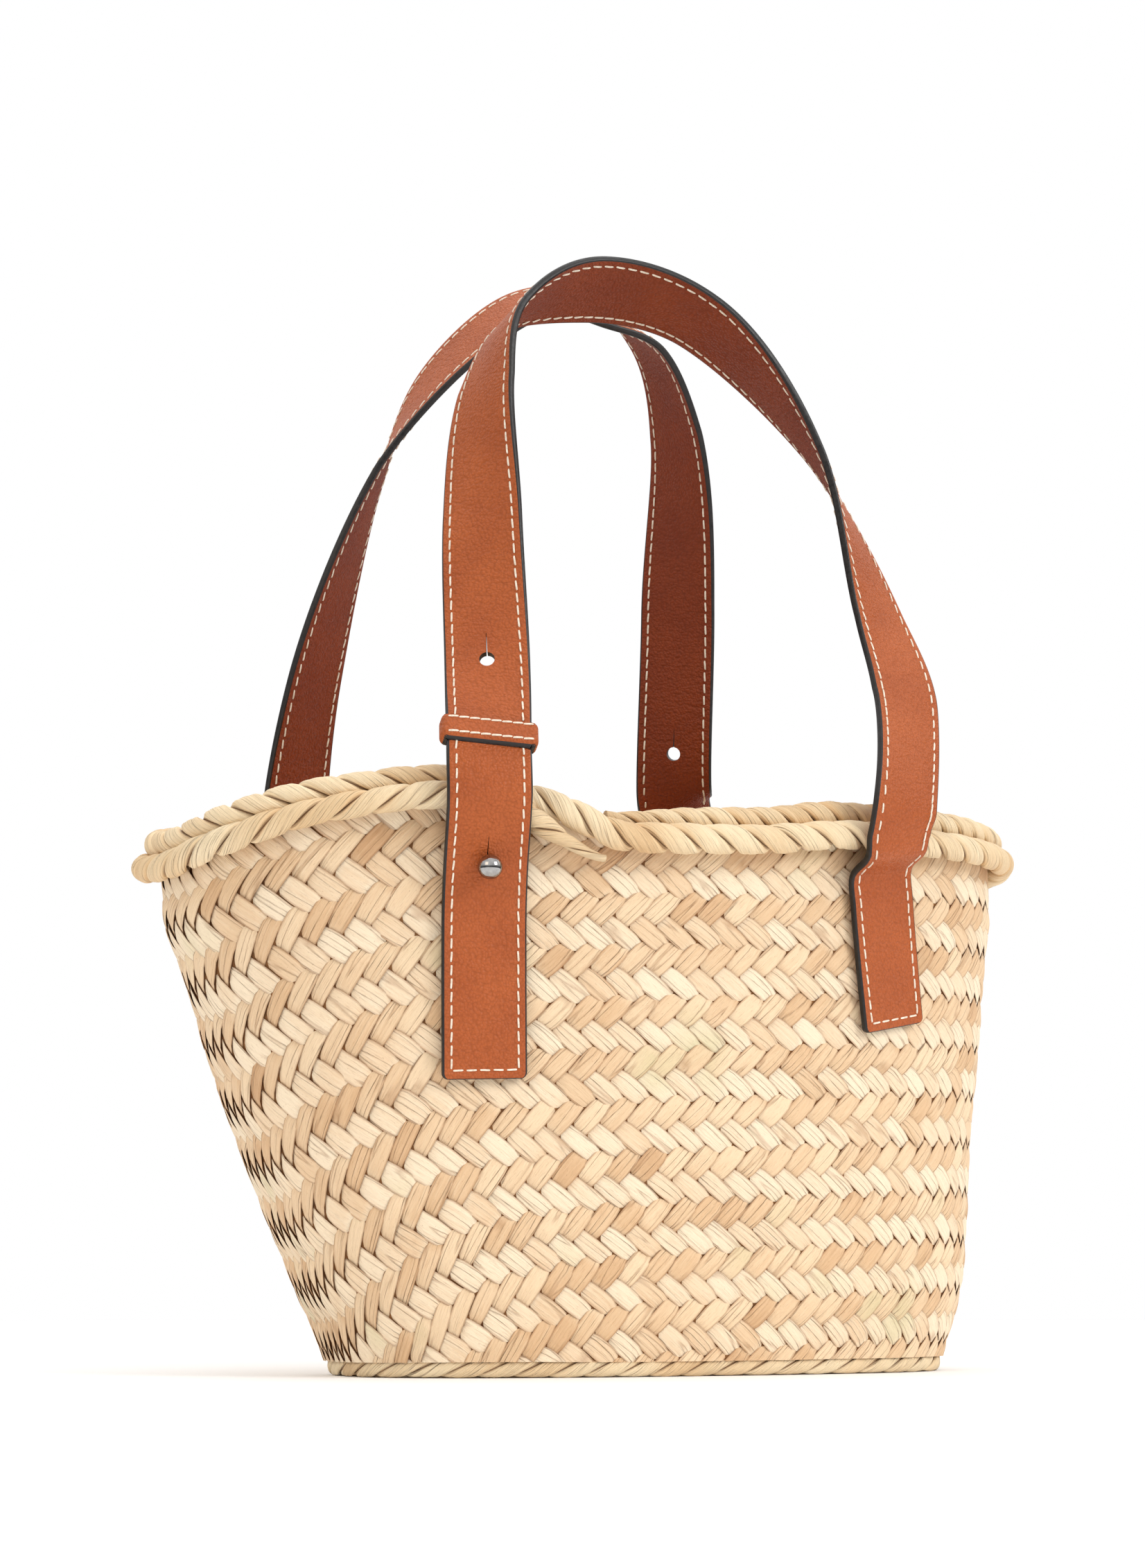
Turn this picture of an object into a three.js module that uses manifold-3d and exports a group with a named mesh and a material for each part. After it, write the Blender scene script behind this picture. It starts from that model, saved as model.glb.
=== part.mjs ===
// Straw basket bag: a plaited palm-leaf basket with a roped mouth and two leather handles.
// Millimetres, +Z up. The bag stands on z = 0, with the middle of its base at the origin.
// The front, with the buttoned leg on its left, faces -Y.

import * as THREE from "three";
import { mergeVertices } from "three/addons/utils/BufferGeometryUtils.js";
import Module from "manifold-3d";

const wasm = await Module();
wasm.setup();

// Basket wall, outside
const BASE_LENGTH = 264;
const BASE_DEPTH = 124;
const RIM_LENGTH = 362;
const RIM_DEPTH = 190;
const RIM_SHIFT_X = -18.5;
const RIM_SHIFT_Y = 12;
const WALL_HEIGHT = 223.5;
const WALL = 3;
const FLOOR = 3;
const GAP = 0.3;

// Rope round the mouth and braid round the foot
const ROPE = 12.4;
const ROPE_START_ANGLE = -100;
const ROPE_DIP_ANGLE = 248;
const ROPE_DIP_SWEEP = 14;
const ROPE_TIP_ANGLE = 619;
const ROPE_TIP_SWEEP = 12;
const BRAID_WIDTH = 4.2;
const BRAID_HEIGHT = 8;

// Leather handles: the drops and the rise are from the wall's highest edge
const STRAP_WIDTH = 33.2;
const STRAP = 3;
const STRAP_EDGE = 0.8;
const BUTTONED_TOP_X = -108.3;
const BUTTONED_TAIL_X = -103;
const BUTTONED_TAIL_DROP = 109.5;
const SEWN_TOP_X = 65.5;
const SEWN_TAIL_X = 77.3;
const SEWN_TAIL_DROP = 85.5;
const SEWN_KNEE_ABOVE_TAIL = 62;
const SEWN_KNEE_OUT = 3.6;
const SEWN_ROPE_SEAT = 2.8;
const SEWN_START_RISE = 2.3;
const SEWN_START_OUT = 4.3;
const BUTTONED_START_RISE = 12.5;
const ARCH_RISE = 200;
const ARCH_LEAN = 58;
const ARCH_TURN = 111;
const TAIL_SEAT = 2.1;
const BUTTONED_ROPE_SEAT = 3.7;
const HANDLES_MIDDLE_X = -16.4;

// Holes, keeper and ball stud of the buttoned leg
const HOLE = 6;
const SLIT_LENGTH = 9;
const SLIT_WIDTH = 0.8;
const STUD_TO_HOLE = 87;
const FRONT_KEEPER_ABOVE_STUD = 52;
const BACK_KEEPER_ABOVE_STUD = 31;
const KEEPER_HEIGHT = 11;
const KEEPER_WALL = 2;
const KEEPER_SLACK = 0.7;
const BALL = 9.6;
const STUD_NECK = 4.6;
const STUD_DISC = 12;
const STUD_DISC_THICKNESS = 1.5;
const STUD_ABOVE_TAIL = 82;
const STUD_STAND_OFF = 2.5;
const STUD_PLAY = 0.9;

// How finely the round forms are divided
const AROUND_WALL = 76;
const AROUND_ROPE = 72;
const ROPE_SIDES = 10;
const ALONG_STRAP = 84;
const ROUND_SIDES = 16;
const BALL_RINGS = 8;

const STRAW = { color: 0xe6cf9f, roughness: 0.75, metalness: 0 };
const LEATHER = { color: 0xb4683a, roughness: 0.5, metalness: 0 };
const STEEL = { color: 0xc9c9cc, roughness: 0.15, metalness: 1 };

// Sections of the wall from the foot to the mouth: how far each one has gone from the base's
// length, depth and middle to the mouth's, and the power that squares its corners.
const WALL_SECTIONS = [
  { up: 0.0, length: 0.0, depth: 0.0, shift: 0.0, squareness: 2.6 },
  { up: 0.06, length: 0.08, depth: 0.09, shift: 0.0, squareness: 2.6 },
  { up: 0.15, length: 0.234, depth: 0.21, shift: 0.044, squareness: 2.55 },
  { up: 0.3, length: 0.408, depth: 0.38, shift: 0.277, squareness: 2.5 },
  { up: 0.45, length: 0.561, depth: 0.53, shift: 0.532, squareness: 2.45 },
  { up: 0.6, length: 0.725, depth: 0.667, shift: 0.698, squareness: 2.4 },
  { up: 0.75, length: 0.857, depth: 0.79, shift: 0.842, squareness: 2.37 },
  { up: 0.9, length: 1.0, depth: 0.924, shift: 0.99, squareness: 2.33 },
  { up: 1.0, length: 1.0, depth: 1.0, shift: 1.0, squareness: 2.3 },
];

// The mouth round the bag, by angle from the right end: the height of the wall's edge, the
// rope's thickness, the drop from the upper row to the lower, and how far out the upper row lies.
const MOUTH = [
  { angle: -180, height: 0.904, thick: 0.84, drop: 0.79, out: 0.235 },
  { angle: -160, height: 0.936, thick: 0.84, drop: 0.78, out: 0.215 },
  { angle: -140, height: 0.979, thick: 0.79, drop: 0.66, out: 0.09 },
  { angle: -120, height: 1.0, thick: 0.82, drop: 0.57, out: 0.0 },
  { angle: -107, height: 0.957, thick: 0.88, drop: 0.62, out: 0.05 },
  { angle: -98, height: 0.937, thick: 0.9, drop: 0.62, out: 0.02 },
  { angle: -85, height: 0.944, thick: 0.9, drop: 0.62, out: -0.04 },
  { angle: -70, height: 0.966, thick: 0.9, drop: 0.66, out: -0.02 },
  { angle: -50, height: 0.967, thick: 0.86, drop: 0.72, out: 0.09 },
  { angle: -25, height: 0.96, thick: 0.82, drop: 0.72, out: 0.14 },
  { angle: 0, height: 0.95, thick: 0.82, drop: 0.76, out: 0.21 },
  { angle: 30, height: 0.958, thick: 0.83, drop: 0.73, out: 0.14 },
  { angle: 60, height: 0.991, thick: 0.86, drop: 0.64, out: -0.01 },
  { angle: 90, height: 0.946, thick: 0.87, drop: 0.62, out: -0.04 },
  { angle: 120, height: 0.966, thick: 0.86, drop: 0.64, out: -0.01 },
  { angle: 150, height: 0.932, thick: 0.84, drop: 0.74, out: 0.15 },
];

// The arch of each handle from its buttoned leg to its sewn leg: across the span, up the rise,
// towards the middle of the bag, and how far the strap has turned over.
const FRONT_ARCH = [
  { across: 0.045, up: 0.199, lean: 0.33, turn: 0.162 },
  { across: 0.069, up: 0.496, lean: 0.57, turn: 0.334 },
  { across: 0.108, up: 0.775, lean: 0.77, turn: 0.616 },
  { across: 0.194, up: 0.936, lean: 0.92, turn: 0.876 },
  { across: 0.407, up: 1.023, lean: 1.0, turn: 1.161 },
  { across: 0.658, up: 0.993, lean: 0.97, turn: 0.993 },
  { across: 0.923, up: 0.749, lean: 0.82, turn: 0.564 },
  { across: 1.052, up: 0.406, lean: 0.6, turn: 0.115 },
  { across: 1.064, up: 0.235, lean: 0.33, turn: -0.04 },
];
const BACK_ARCH = [
  { across: 0.065, up: 0.084, lean: 0.33, turn: 0.231 },
  { across: 0.094, up: 0.456, lean: 0.57, turn: 0.298 },
  { across: 0.131, up: 0.845, lean: 0.77, turn: 0.623 },
  { across: 0.233, up: 1.028, lean: 0.92, turn: 0.869 },
  { across: 0.396, up: 1.104, lean: 1.0, turn: 1.135 },
  { across: 0.546, up: 1.109, lean: 0.97, turn: 1.043 },
  { across: 0.75, up: 0.964, lean: 0.82, turn: 0.871 },
  { across: 0.872, up: 0.758, lean: 0.6, turn: 0.524 },
  { across: 0.998, up: 0.313, lean: 0.33, turn: 0.155 },
];

// The two legs of a handle: where they cross the ropes, where they end, and the knee where they
// start to leave the wall. The buttoned leg's knee is at its stud, whose disc lies behind it.
const BUTTONED_LEG = {
  topX: BUTTONED_TOP_X,
  tailX: BUTTONED_TAIL_X,
  tailZ: WALL_HEIGHT - BUTTONED_TAIL_DROP,
  kneeAbove: STUD_ABOVE_TAIL,
  kneeOut: STUD_DISC_THICKNESS + STRAP / 2 + 2 * GAP + STUD_STAND_OFF,
  ropeSeat: BUTTONED_ROPE_SEAT,
  startRise: BUTTONED_START_RISE,
  startOut: 0,
};
const SEWN_LEG = {
  topX: SEWN_TOP_X,
  tailX: SEWN_TAIL_X,
  tailZ: WALL_HEIGHT - SEWN_TAIL_DROP,
  kneeAbove: SEWN_KNEE_ABOVE_TAIL,
  kneeOut: SEWN_KNEE_OUT,
  ropeSeat: SEWN_ROPE_SEAT,
  startRise: SEWN_START_RISE,
  startOut: SEWN_START_OUT,
};

const vector = (x, y, z) => new THREE.Vector3(x, y, z);
const radians = THREE.MathUtils.degToRad;
const smooth = (value) => THREE.MathUtils.smoothstep(value, 0, 1);

/** Reads one column of a table at a place along its key column, smoothly and without overshoot. */
function readTable(rows, key, column, place) {
  const count = rows.length;
  const at = (i) => rows[i][key];
  const value = (i) => rows[i][column];
  const slope = (i) => (value(i + 1) - value(i)) / (at(i + 1) - at(i));
  const tangent = (i) => {
    if (i === 0) return slope(0);
    if (i === count - 1) return slope(count - 2);
    const before = slope(i - 1);
    const after = slope(i);
    return before * after <= 0 ? 0 : (2 * before * after) / (before + after);
  };
  let i = 0;
  while (i < count - 2 && place > at(i + 1)) i += 1;
  const step = at(i + 1) - at(i);
  const t = THREE.MathUtils.clamp((place - at(i)) / step, 0, 1);
  const rise = value(i + 1) - value(i);
  const a = tangent(i) * step - rise;
  const b = rise - tangent(i + 1) * step;
  return value(i) + rise * t + t * (1 - t) * (a * (1 - t) + b * t);
}

/** The mouth's table, repeated before and after itself so that it closes smoothly. */
const MOUTH_ROUND = [-360, 0, 360].flatMap((turn) =>
  MOUTH.map((row) => ({ ...row, angle: row.angle + turn }))
);

/** One column of the mouth's table at an angle in degrees, for any number of turns. */
function mouthAt(column, angle) {
  const wrapped = THREE.MathUtils.euclideanModulo(angle + 180, 360) - 180;
  return readTable(MOUTH_ROUND, "angle", column, wrapped);
}

const wallTop = (angle) => WALL_HEIGHT * mouthAt("height", angle);

/** Half length, half depth, middle and squareness of the wall's plan at a share of its height. */
function planAt(up) {
  const read = (column) => readTable(WALL_SECTIONS, "up", column, up);
  return {
    halfLength: THREE.MathUtils.lerp(BASE_LENGTH, RIM_LENGTH, read("length")) / 2,
    halfDepth: THREE.MathUtils.lerp(BASE_DEPTH, RIM_DEPTH, read("depth")) / 2,
    middleX: RIM_SHIFT_X * read("shift"),
    middleY: RIM_SHIFT_Y * up,
    power: read("squareness"),
  };
}

/** Outside point of a plan at an angle, moved out along its normal, and that normal. */
function planPoint(plan, angle, out) {
  const c = Math.cos(radians(angle));
  const s = Math.sin(radians(angle));
  const x = Math.sign(c) * Math.abs(c) ** (2 / plan.power);
  const y = Math.sign(s) * Math.abs(s) ** (2 / plan.power);
  const normal = vector(
    (Math.sign(c) * Math.abs(x) ** (plan.power - 1)) / plan.halfLength,
    (Math.sign(s) * Math.abs(y) ** (plan.power - 1)) / plan.halfDepth,
    0
  ).normalize();
  const point = vector(plan.middleX + plan.halfLength * x, plan.middleY + plan.halfDepth * y, 0);
  return { point: point.addScaledVector(normal, out), normal };
}

/** The angle of the point on the front (side -1) or back (side 1) of the wall at a given X. */
function angleAtX(plan, x, side) {
  const share = THREE.MathUtils.clamp((x - plan.middleX) / plan.halfLength, -0.999, 0.999);
  const c = Math.sign(share) * Math.abs(share) ** (plan.power / 2);
  return side * THREE.MathUtils.radToDeg(Math.acos(c));
}

/** Closed mesh from rings of equally many points, capped at the first and last unless it closes. */
function geometryFromRings(rings, closed) {
  const sides = rings[0].length;
  const points = rings.flat();
  const faces = [];
  const count = rings.length;
  for (let i = 0; i < (closed ? count : count - 1); i += 1) {
    const next = ((i + 1) % count) * sides;
    for (let j = 0; j < sides; j += 1) {
      const k = (j + 1) % sides;
      faces.push(i * sides + j, i * sides + k, next + k);
      faces.push(i * sides + j, next + k, next + j);
    }
  }
  if (!closed) {
    const middles = [rings[0], rings[count - 1]].map((ring) =>
      ring.reduce((sum, p) => sum.add(p), vector(0, 0, 0)).divideScalar(sides)
    );
    const first = points.push(middles[0]) - 1;
    const last = points.push(middles[1]) - 1;
    for (let j = 0; j < sides; j += 1) {
      const k = (j + 1) % sides;
      faces.push(first, k, j);
      faces.push(last, (count - 1) * sides + j, (count - 1) * sides + k);
    }
  }
  let volume = 0;
  for (let i = 0; i < faces.length; i += 3) {
    volume += points[faces[i]].dot(points[faces[i + 1]].clone().cross(points[faces[i + 2]]));
  }
  const geometry = new THREE.BufferGeometry().setFromPoints(points);
  geometry.setIndex(volume < 0 ? faces.reverse() : faces);
  return geometry;
}

function meshOf(name, geometry, look) {
  const mesh = new THREE.Mesh(geometry, new THREE.MeshStandardMaterial(look));
  mesh.name = name;
  return mesh;
}

// Basket body: one wall and floor, turned round the middle like a lathe whose profile changes.

/** The wall's outer or inner points at one angle, from low to high, set in at the foot for the braid. */
function wallProfile(angle, inset, low) {
  const top = wallTop(angle);
  const foot = planPoint(planAt(0), angle, -inset - BRAID_WIDTH - GAP).point;
  const ledge = BRAID_HEIGHT + GAP + inset;
  const ups = [0.12, 0.24, 0.37, 0.51, 0.65, 0.79, 0.91, 1.0];
  return [
    foot.clone().setZ(low),
    foot.clone().setZ(ledge),
    planPoint(planAt(ledge / top), angle, -inset).point.setZ(ledge),
    ...ups.map((up) => planPoint(planAt(up), angle, -inset).point.setZ(up * top)),
  ];
}

function basketBody() {
  const columns = [];
  for (let i = 0; i < AROUND_WALL; i += 1) {
    const angle = -180 + (360 * i) / AROUND_WALL;
    const outer = wallProfile(angle, 0, 0);
    const inner = wallProfile(angle, WALL, FLOOR).reverse();
    columns.push([...outer, ...inner]);
  }
  const rings = columns[0].map((_, j) => columns.map((column) => column[j]));
  return meshOf("basket_body", geometryFromRings(rings, false), STRAW);
}

// Rope round the mouth: one rope in two rows, the upper one dipping into the lower.

/** Middle, outward direction and radius of the rope at an angle along its two turns. */
function ropeAt(angle) {
  const { point, normal } = planPoint(planAt(1), angle, -WALL / 2);
  const thickness = ROPE * mouthAt("thick", angle);
  const drop = ROPE * mouthAt("drop", angle);
  const upperOut = ROPE * mouthAt("out", angle);
  const lowerOut = upperOut + Math.sqrt((thickness + GAP) ** 2 - drop ** 2);
  const row = smooth((angle - ROPE_DIP_ANGLE) / ROPE_DIP_SWEEP);
  const tip = smooth((angle - ROPE_TIP_ANGLE + ROPE_TIP_SWEEP) / ROPE_TIP_SWEEP);
  const start = smooth((angle - ROPE_START_ANGLE) / ROPE_TIP_SWEEP);
  const radius = (thickness / 2) * (1 - 0.7 * tip) * (0.45 + 0.55 * start);
  const out = THREE.MathUtils.lerp(upperOut, lowerOut, Math.sin((row * Math.PI) / 2));
  const before = planPoint(planAt(1), angle - 1, 0).point;
  const run = before.distanceTo(planPoint(planAt(1), angle + 1, 0).point);
  const slope = (wallTop(angle + 1) - wallTop(angle - 1)) / run;
  const seat = wallTop(angle) + GAP + (thickness / 2) * Math.hypot(1, slope);
  const height = seat - drop * (1 - Math.cos((row * Math.PI) / 2)) - 0.78 * ROPE * tip;
  return { middle: point.addScaledVector(normal, out).setZ(height), normal, radius };
}

function rimRope() {
  const steps = Math.round(((ROPE_TIP_ANGLE - ROPE_START_ANGLE) / 360) * AROUND_ROPE);
  const places = [];
  for (let i = 0; i <= steps; i += 1) {
    places.push(ropeAt(ROPE_START_ANGLE + ((ROPE_TIP_ANGLE - ROPE_START_ANGLE) * i) / steps));
  }
  const rings = places.map(({ middle, normal, radius }, i) => {
    const before = places[Math.max(i - 1, 0)].middle;
    const after = places[Math.min(i + 1, steps)].middle;
    const along = after.clone().sub(before).normalize();
    const up = normal.clone().cross(along).normalize();
    const out = along.clone().cross(up);
    return Array.from({ length: ROPE_SIDES }, (_, j) => {
      const turn = (2 * Math.PI * j) / ROPE_SIDES;
      const ring = middle.clone().addScaledVector(out, radius * Math.cos(turn));
      return ring.addScaledVector(up, radius * Math.sin(turn));
    });
  });
  return meshOf("rim_rope", geometryFromRings(rings, false), STRAW);
}

// Braid round the foot, in the step under the wall.

function baseBraid() {
  const sides = 8;
  const rings = [];
  for (let i = 0; i < AROUND_ROPE; i += 1) {
    const angle = -180 + (360 * i) / AROUND_ROPE;
    const foot = planAt(0);
    const { point, normal } = planPoint(foot, angle, -BRAID_WIDTH / 2);
    rings.push(
      Array.from({ length: sides }, (_, j) => {
        const turn = (2 * Math.PI * (j + 0.5)) / sides;
        const half = Math.cos(Math.PI / sides);
        const out = ((BRAID_WIDTH / 2) * Math.cos(turn)) / half;
        const height = BRAID_HEIGHT / 2 + ((BRAID_HEIGHT / 2) * Math.sin(turn)) / half;
        return point.clone().addScaledVector(normal, out).setZ(height);
      })
    );
  }
  return meshOf("base_braid", geometryFromRings(rings, true), STRAW);
}

// Leather handles: a flat strap swept from the buttoned tail over the arch to the sewn tail.

/** Point at a distance outside the wall at a given X and height, and the wall's normal there. */
function onWall(x, z, side, out) {
  const top = wallTop(angleAtX(planAt(1), x, side));
  const plan = planAt(z / top);
  const { point, normal } = planPoint(plan, angleAtX(plan, x, side), 0);
  return { point: point.addScaledVector(normal, out).setZ(z), normal };
}

/** Stations of one leg, from the tail's end up round the lower rope to where the arch starts. */
function legStations(side, leg) {
  const angle = angleAtX(planAt(1), leg.topX, side);
  const lower = ropeAt(angle < ROPE_DIP_ANGLE + ROPE_DIP_SWEEP - 360 ? angle + 720 : angle + 360);
  const rope = lower.middle.distanceTo(onWall(leg.topX, lower.middle.z, side, 0).point);
  const clear = lower.radius + leg.ropeSeat + STRAP / 2;
  const kneeZ = leg.tailZ + leg.kneeAbove;
  const lifted = THREE.MathUtils.lerp(TAIL_SEAT, leg.kneeOut, 0.2);
  const seats = [
    { z: leg.tailZ, out: TAIL_SEAT },
    { z: THREE.MathUtils.lerp(leg.tailZ, kneeZ, 0.5), out: TAIL_SEAT },
    { z: THREE.MathUtils.lerp(leg.tailZ, kneeZ, 0.8), out: lifted },
    { z: kneeZ, out: leg.kneeOut },
    { z: lower.middle.z - 0.7 * clear, out: rope + 0.72 * clear },
    { z: lower.middle.z, out: rope + clear },
    { z: WALL_HEIGHT + leg.startRise, out: rope + clear + leg.startOut },
  ];
  return seats.map(({ z, out }) => {
    const share = Math.min((z - leg.tailZ) / (lower.middle.z - leg.tailZ), 1);
    return onWall(THREE.MathUtils.lerp(leg.tailX, leg.topX, share), z, side, out);
  });
}

/** An X of the front handle, or of the back one, which is the same handle turned round. */
const turned = (x, side) => (side < 0 ? x : 2 * HANDLES_MIDDLE_X - x);

/**
 * Stations of a whole handle: points on the strap's middle line, the way towards the bag that its
 * width is square to, and how far it is rolled from there.
 */
function handleStations(side, arch) {
  const placed = (leg) => {
    return { ...leg, topX: turned(leg.topX, side), tailX: turned(leg.tailX, side) };
  };
  const buttoned = legStations(side, placed(BUTTONED_LEG));
  const sewn = legStations(side, placed(SEWN_LEG)).reverse();
  const from = buttoned[buttoned.length - 1];
  const to = sewn[0];
  const flat = ({ point, normal }) => ({ point, inward: normal.clone().negate(), roll: 0 });
  const stations = buttoned.map(flat);
  arch.forEach(({ across, up, lean, turn }) => {
    const point = from.point.clone().lerp(to.point, across);
    point.z += ARCH_RISE * up;
    point.y -= side * ARCH_LEAN * lean;
    const normal = from.normal.clone().lerp(to.normal, THREE.MathUtils.clamp(across, 0, 1));
    stations.push({ point, inward: normal.negate(), roll: -radians(ARCH_TURN) * turn });
  });
  return [...stations, ...sewn.map(flat)];
}

/** A smooth line through the stations, with the strap's directions at any share of its length. */
function strapLine(side, arch) {
  const stations = handleStations(side, arch);
  const curve = new THREE.CatmullRomCurve3(stations.map((s) => s.point), false, "centripetal");
  curve.arcLengthDivisions = 800;
  const ways = stations.map(({ inward, roll }, at) => ({ at, x: inward.x, y: inward.y, roll }));
  return (share) => {
    const t = curve.getUtoTmapping(share);
    const point = curve.getPoint(t);
    const along = curve.getTangent(t);
    const read = (column) => readTable(ways, "at", column, t * (stations.length - 1));
    const roll = read("roll");
    const level = vector(read("x"), read("y"), 0).cross(along).normalize();
    const width = level.clone().multiplyScalar(Math.cos(roll));
    width.addScaledVector(along.clone().cross(level), Math.sin(roll));
    return { point, along, width, face: width.clone().cross(along), length: curve.getLength() };
  };
}

/** The strap's flat section with eased edges, as shares along its width and its thickness. */
function strapSection() {
  const w = STRAP_WIDTH / 2;
  const t = STRAP / 2;
  const e = STRAP_EDGE;
  const half = [[w, e - t], [w, t - e], [w - e, t], [e - w, t]];
  return [...half, ...half.map(([across, out]) => [-across, -out])];
}

/** Places a mesh made round the origin (X across, Y along, Z out of the face) on the strap. */
function onStrap(geometry, { point, along, width, face }) {
  return geometry.applyMatrix4(new THREE.Matrix4().makeBasis(width, along, face).setPosition(point));
}

/** A manifold solid of a closed geometry, for cuts. */
function solidOf(geometry) {
  const plain = geometry.clone();
  plain.deleteAttribute("normal");
  plain.deleteAttribute("uv");
  const merged = mergeVertices(plain, 0.0005);
  return new wasm.Manifold(
    new wasm.Mesh({
      numProp: 3,
      vertProperties: new Float32Array(merged.attributes.position.array),
      triVerts: new Uint32Array(merged.index.array),
    })
  );
}

function geometryOf(solid) {
  const { vertProperties, triVerts } = solid.getMesh();
  const geometry = new THREE.BufferGeometry();
  geometry.setAttribute("position", new THREE.BufferAttribute(new Float32Array(vertProperties), 3));
  geometry.setIndex(new THREE.BufferAttribute(new Uint32Array(triVerts), 1));
  return geometry;
}

/** Share of the strap's length where its middle line first reaches a height, from the buttoned tail. */
function shareAtHeight(line, z) {
  let share = 0;
  while (line(share).point.z < z && share < 0.5) share += 0.0005;
  return share;
}

/** A round hole with a slit above it, as a cutter through the strap. */
function buttonhole(line, share, diameter) {
  const depth = 4 * STRAP;
  const hole = new THREE.CylinderGeometry(diameter / 2, diameter / 2, depth, ROUND_SIDES);
  hole.rotateX(Math.PI / 2);
  const slit = new THREE.BoxGeometry(SLIT_WIDTH, SLIT_LENGTH, depth);
  slit.translate(0, diameter / 2 + SLIT_LENGTH / 2 - SLIT_WIDTH, 0);
  return solidOf(onStrap(hole, line(share))).add(solidOf(onStrap(slit, line(share))));
}

/** The strap itself, cut by its two buttonholes. */
function handleStrap(name, line, places) {
  const rings = [];
  for (let i = 0; i <= ALONG_STRAP; i += 1) {
    const { point, width, face } = line(i / ALONG_STRAP);
    rings.push(
      strapSection().map(([across, out]) =>
        point.clone().addScaledVector(width, across).addScaledVector(face, out)
      )
    );
  }
  const strap = solidOf(geometryFromRings(rings, false));
  const free = buttonhole(line, places.hole, HOLE);
  const worn = buttonhole(line, places.stud, STUD_NECK + 2 * GAP);
  return meshOf(name, geometryOf(strap.subtract(free).subtract(worn)), LEATHER);
}

/** The stitched loop round the buttoned leg: a flat band closed round the strap. */
function keeperLoop(name, line, places) {
  const w = STRAP_WIDTH / 2 + GAP;
  const t = STRAP / 2 + GAP + KEEPER_SLACK;
  const band = new THREE.Shape();
  const round = 1.6 * KEEPER_WALL;
  const right = w + KEEPER_WALL;
  const top = t + KEEPER_WALL;
  band.moveTo(round - right, -top);
  band.lineTo(right - round, -top);
  band.quadraticCurveTo(right, -top, right, round - top);
  band.lineTo(right, top - round);
  band.quadraticCurveTo(right, top, right - round, top);
  band.lineTo(round - right, top);
  band.quadraticCurveTo(-right, top, -right, top - round);
  band.lineTo(-right, round - top);
  band.quadraticCurveTo(-right, -top, round - right, -top);
  const inside = new THREE.Path();
  inside.moveTo(-w, -t);
  inside.lineTo(-w, t);
  inside.lineTo(w, t);
  inside.lineTo(w, -t);
  inside.lineTo(-w, -t);
  band.holes.push(inside);
  const settings = { depth: KEEPER_HEIGHT, bevelEnabled: false, curveSegments: 3 };
  const geometry = new THREE.ExtrudeGeometry(band, settings);
  geometry.translate(0, 0, -KEEPER_HEIGHT / 2).rotateX(-Math.PI / 2);
  return meshOf(name, onStrap(geometry, line(places.keeper)), LEATHER);
}

/** The ball stud: a disc behind the strap, a neck through the buttonhole and the ball in front. */
function ballStud(name, line, places) {
  const back = STRAP / 2 + STUD_PLAY;
  const radius = BALL / 2;
  const neck = STUD_NECK / 2;
  const ballMiddle = back + Math.sqrt(radius ** 2 - neck ** 2);
  const profile = [
    [0, -back - STUD_DISC_THICKNESS],
    [STUD_DISC / 2, -back - STUD_DISC_THICKNESS],
    [STUD_DISC / 2, -back],
    [neck, -back],
    [neck, back],
  ];
  const start = Math.asin(neck / radius);
  for (let i = 1; i <= BALL_RINGS; i += 1) {
    const turn = start + ((Math.PI - start) * i) / BALL_RINGS;
    const out = i === BALL_RINGS ? 0 : radius * Math.sin(turn);
    profile.push([out, ballMiddle - radius * Math.cos(turn)]);
  }
  const points = profile.map(([r, out]) => new THREE.Vector2(r, out));
  const geometry = new THREE.LatheGeometry(points, ROUND_SIDES).rotateX(Math.PI / 2);
  return meshOf(name, onStrap(geometry, line(places.stud)), STEEL);
}

/** One handle with its keeper and stud. */
function handle(end, side, arch) {
  const line = strapLine(side, arch);
  const { length } = line(0);
  const stud = shareAtHeight(line, BUTTONED_LEG.tailZ + STUD_ABOVE_TAIL);
  const places = {
    stud,
    hole: stud + STUD_TO_HOLE / length,
    keeper: stud + (side < 0 ? FRONT_KEEPER_ABOVE_STUD : BACK_KEEPER_ABOVE_STUD) / length,
  };
  return [
    handleStrap(`handle_strap_${end}`, line, places),
    keeperLoop(`keeper_loop_${end}`, line, places),
    ballStud(`ball_stud_${end}`, line, places),
  ];
}

export default new THREE.Group().add(
  basketBody(),
  rimRope(),
  baseBraid(),
  ...handle("front", -1, FRONT_ARCH),
  ...handle("back", 1, BACK_ARCH)
);
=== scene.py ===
"""Straw basket bag: a plaited palm-leaf basket with a roped mouth and two leather handles.

Lengths are in millimetres until a mesh is written, and in metres from there on.
The bag stands on z = 0, and its front faces -Y.
"""

import logging
import math
from collections.abc import Iterator
from contextlib import contextmanager
from dataclasses import dataclass, field
from enum import Enum

import bpy
import numpy as np
from mathutils import Matrix, Vector


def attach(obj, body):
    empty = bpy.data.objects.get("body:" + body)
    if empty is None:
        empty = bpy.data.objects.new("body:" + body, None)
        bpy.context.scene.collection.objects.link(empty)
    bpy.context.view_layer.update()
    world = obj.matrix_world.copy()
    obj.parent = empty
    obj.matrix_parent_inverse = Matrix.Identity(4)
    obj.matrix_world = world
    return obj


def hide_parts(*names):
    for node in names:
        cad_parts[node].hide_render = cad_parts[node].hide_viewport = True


LOG = logging.getLogger("basket_bag")
MM = 0.001
GAP = 0.3
BLANK_STEP = 10
Array = np.ndarray


class Side(Enum):
    """A handle's side of the bag."""

    FRONT = -1
    BACK = 1


class Lean(Enum):
    """Which way the strands of a family run, seen from outside."""

    FALLING = -1
    RISING = 1


# Tables that the solids are made from too, by named columns

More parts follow.
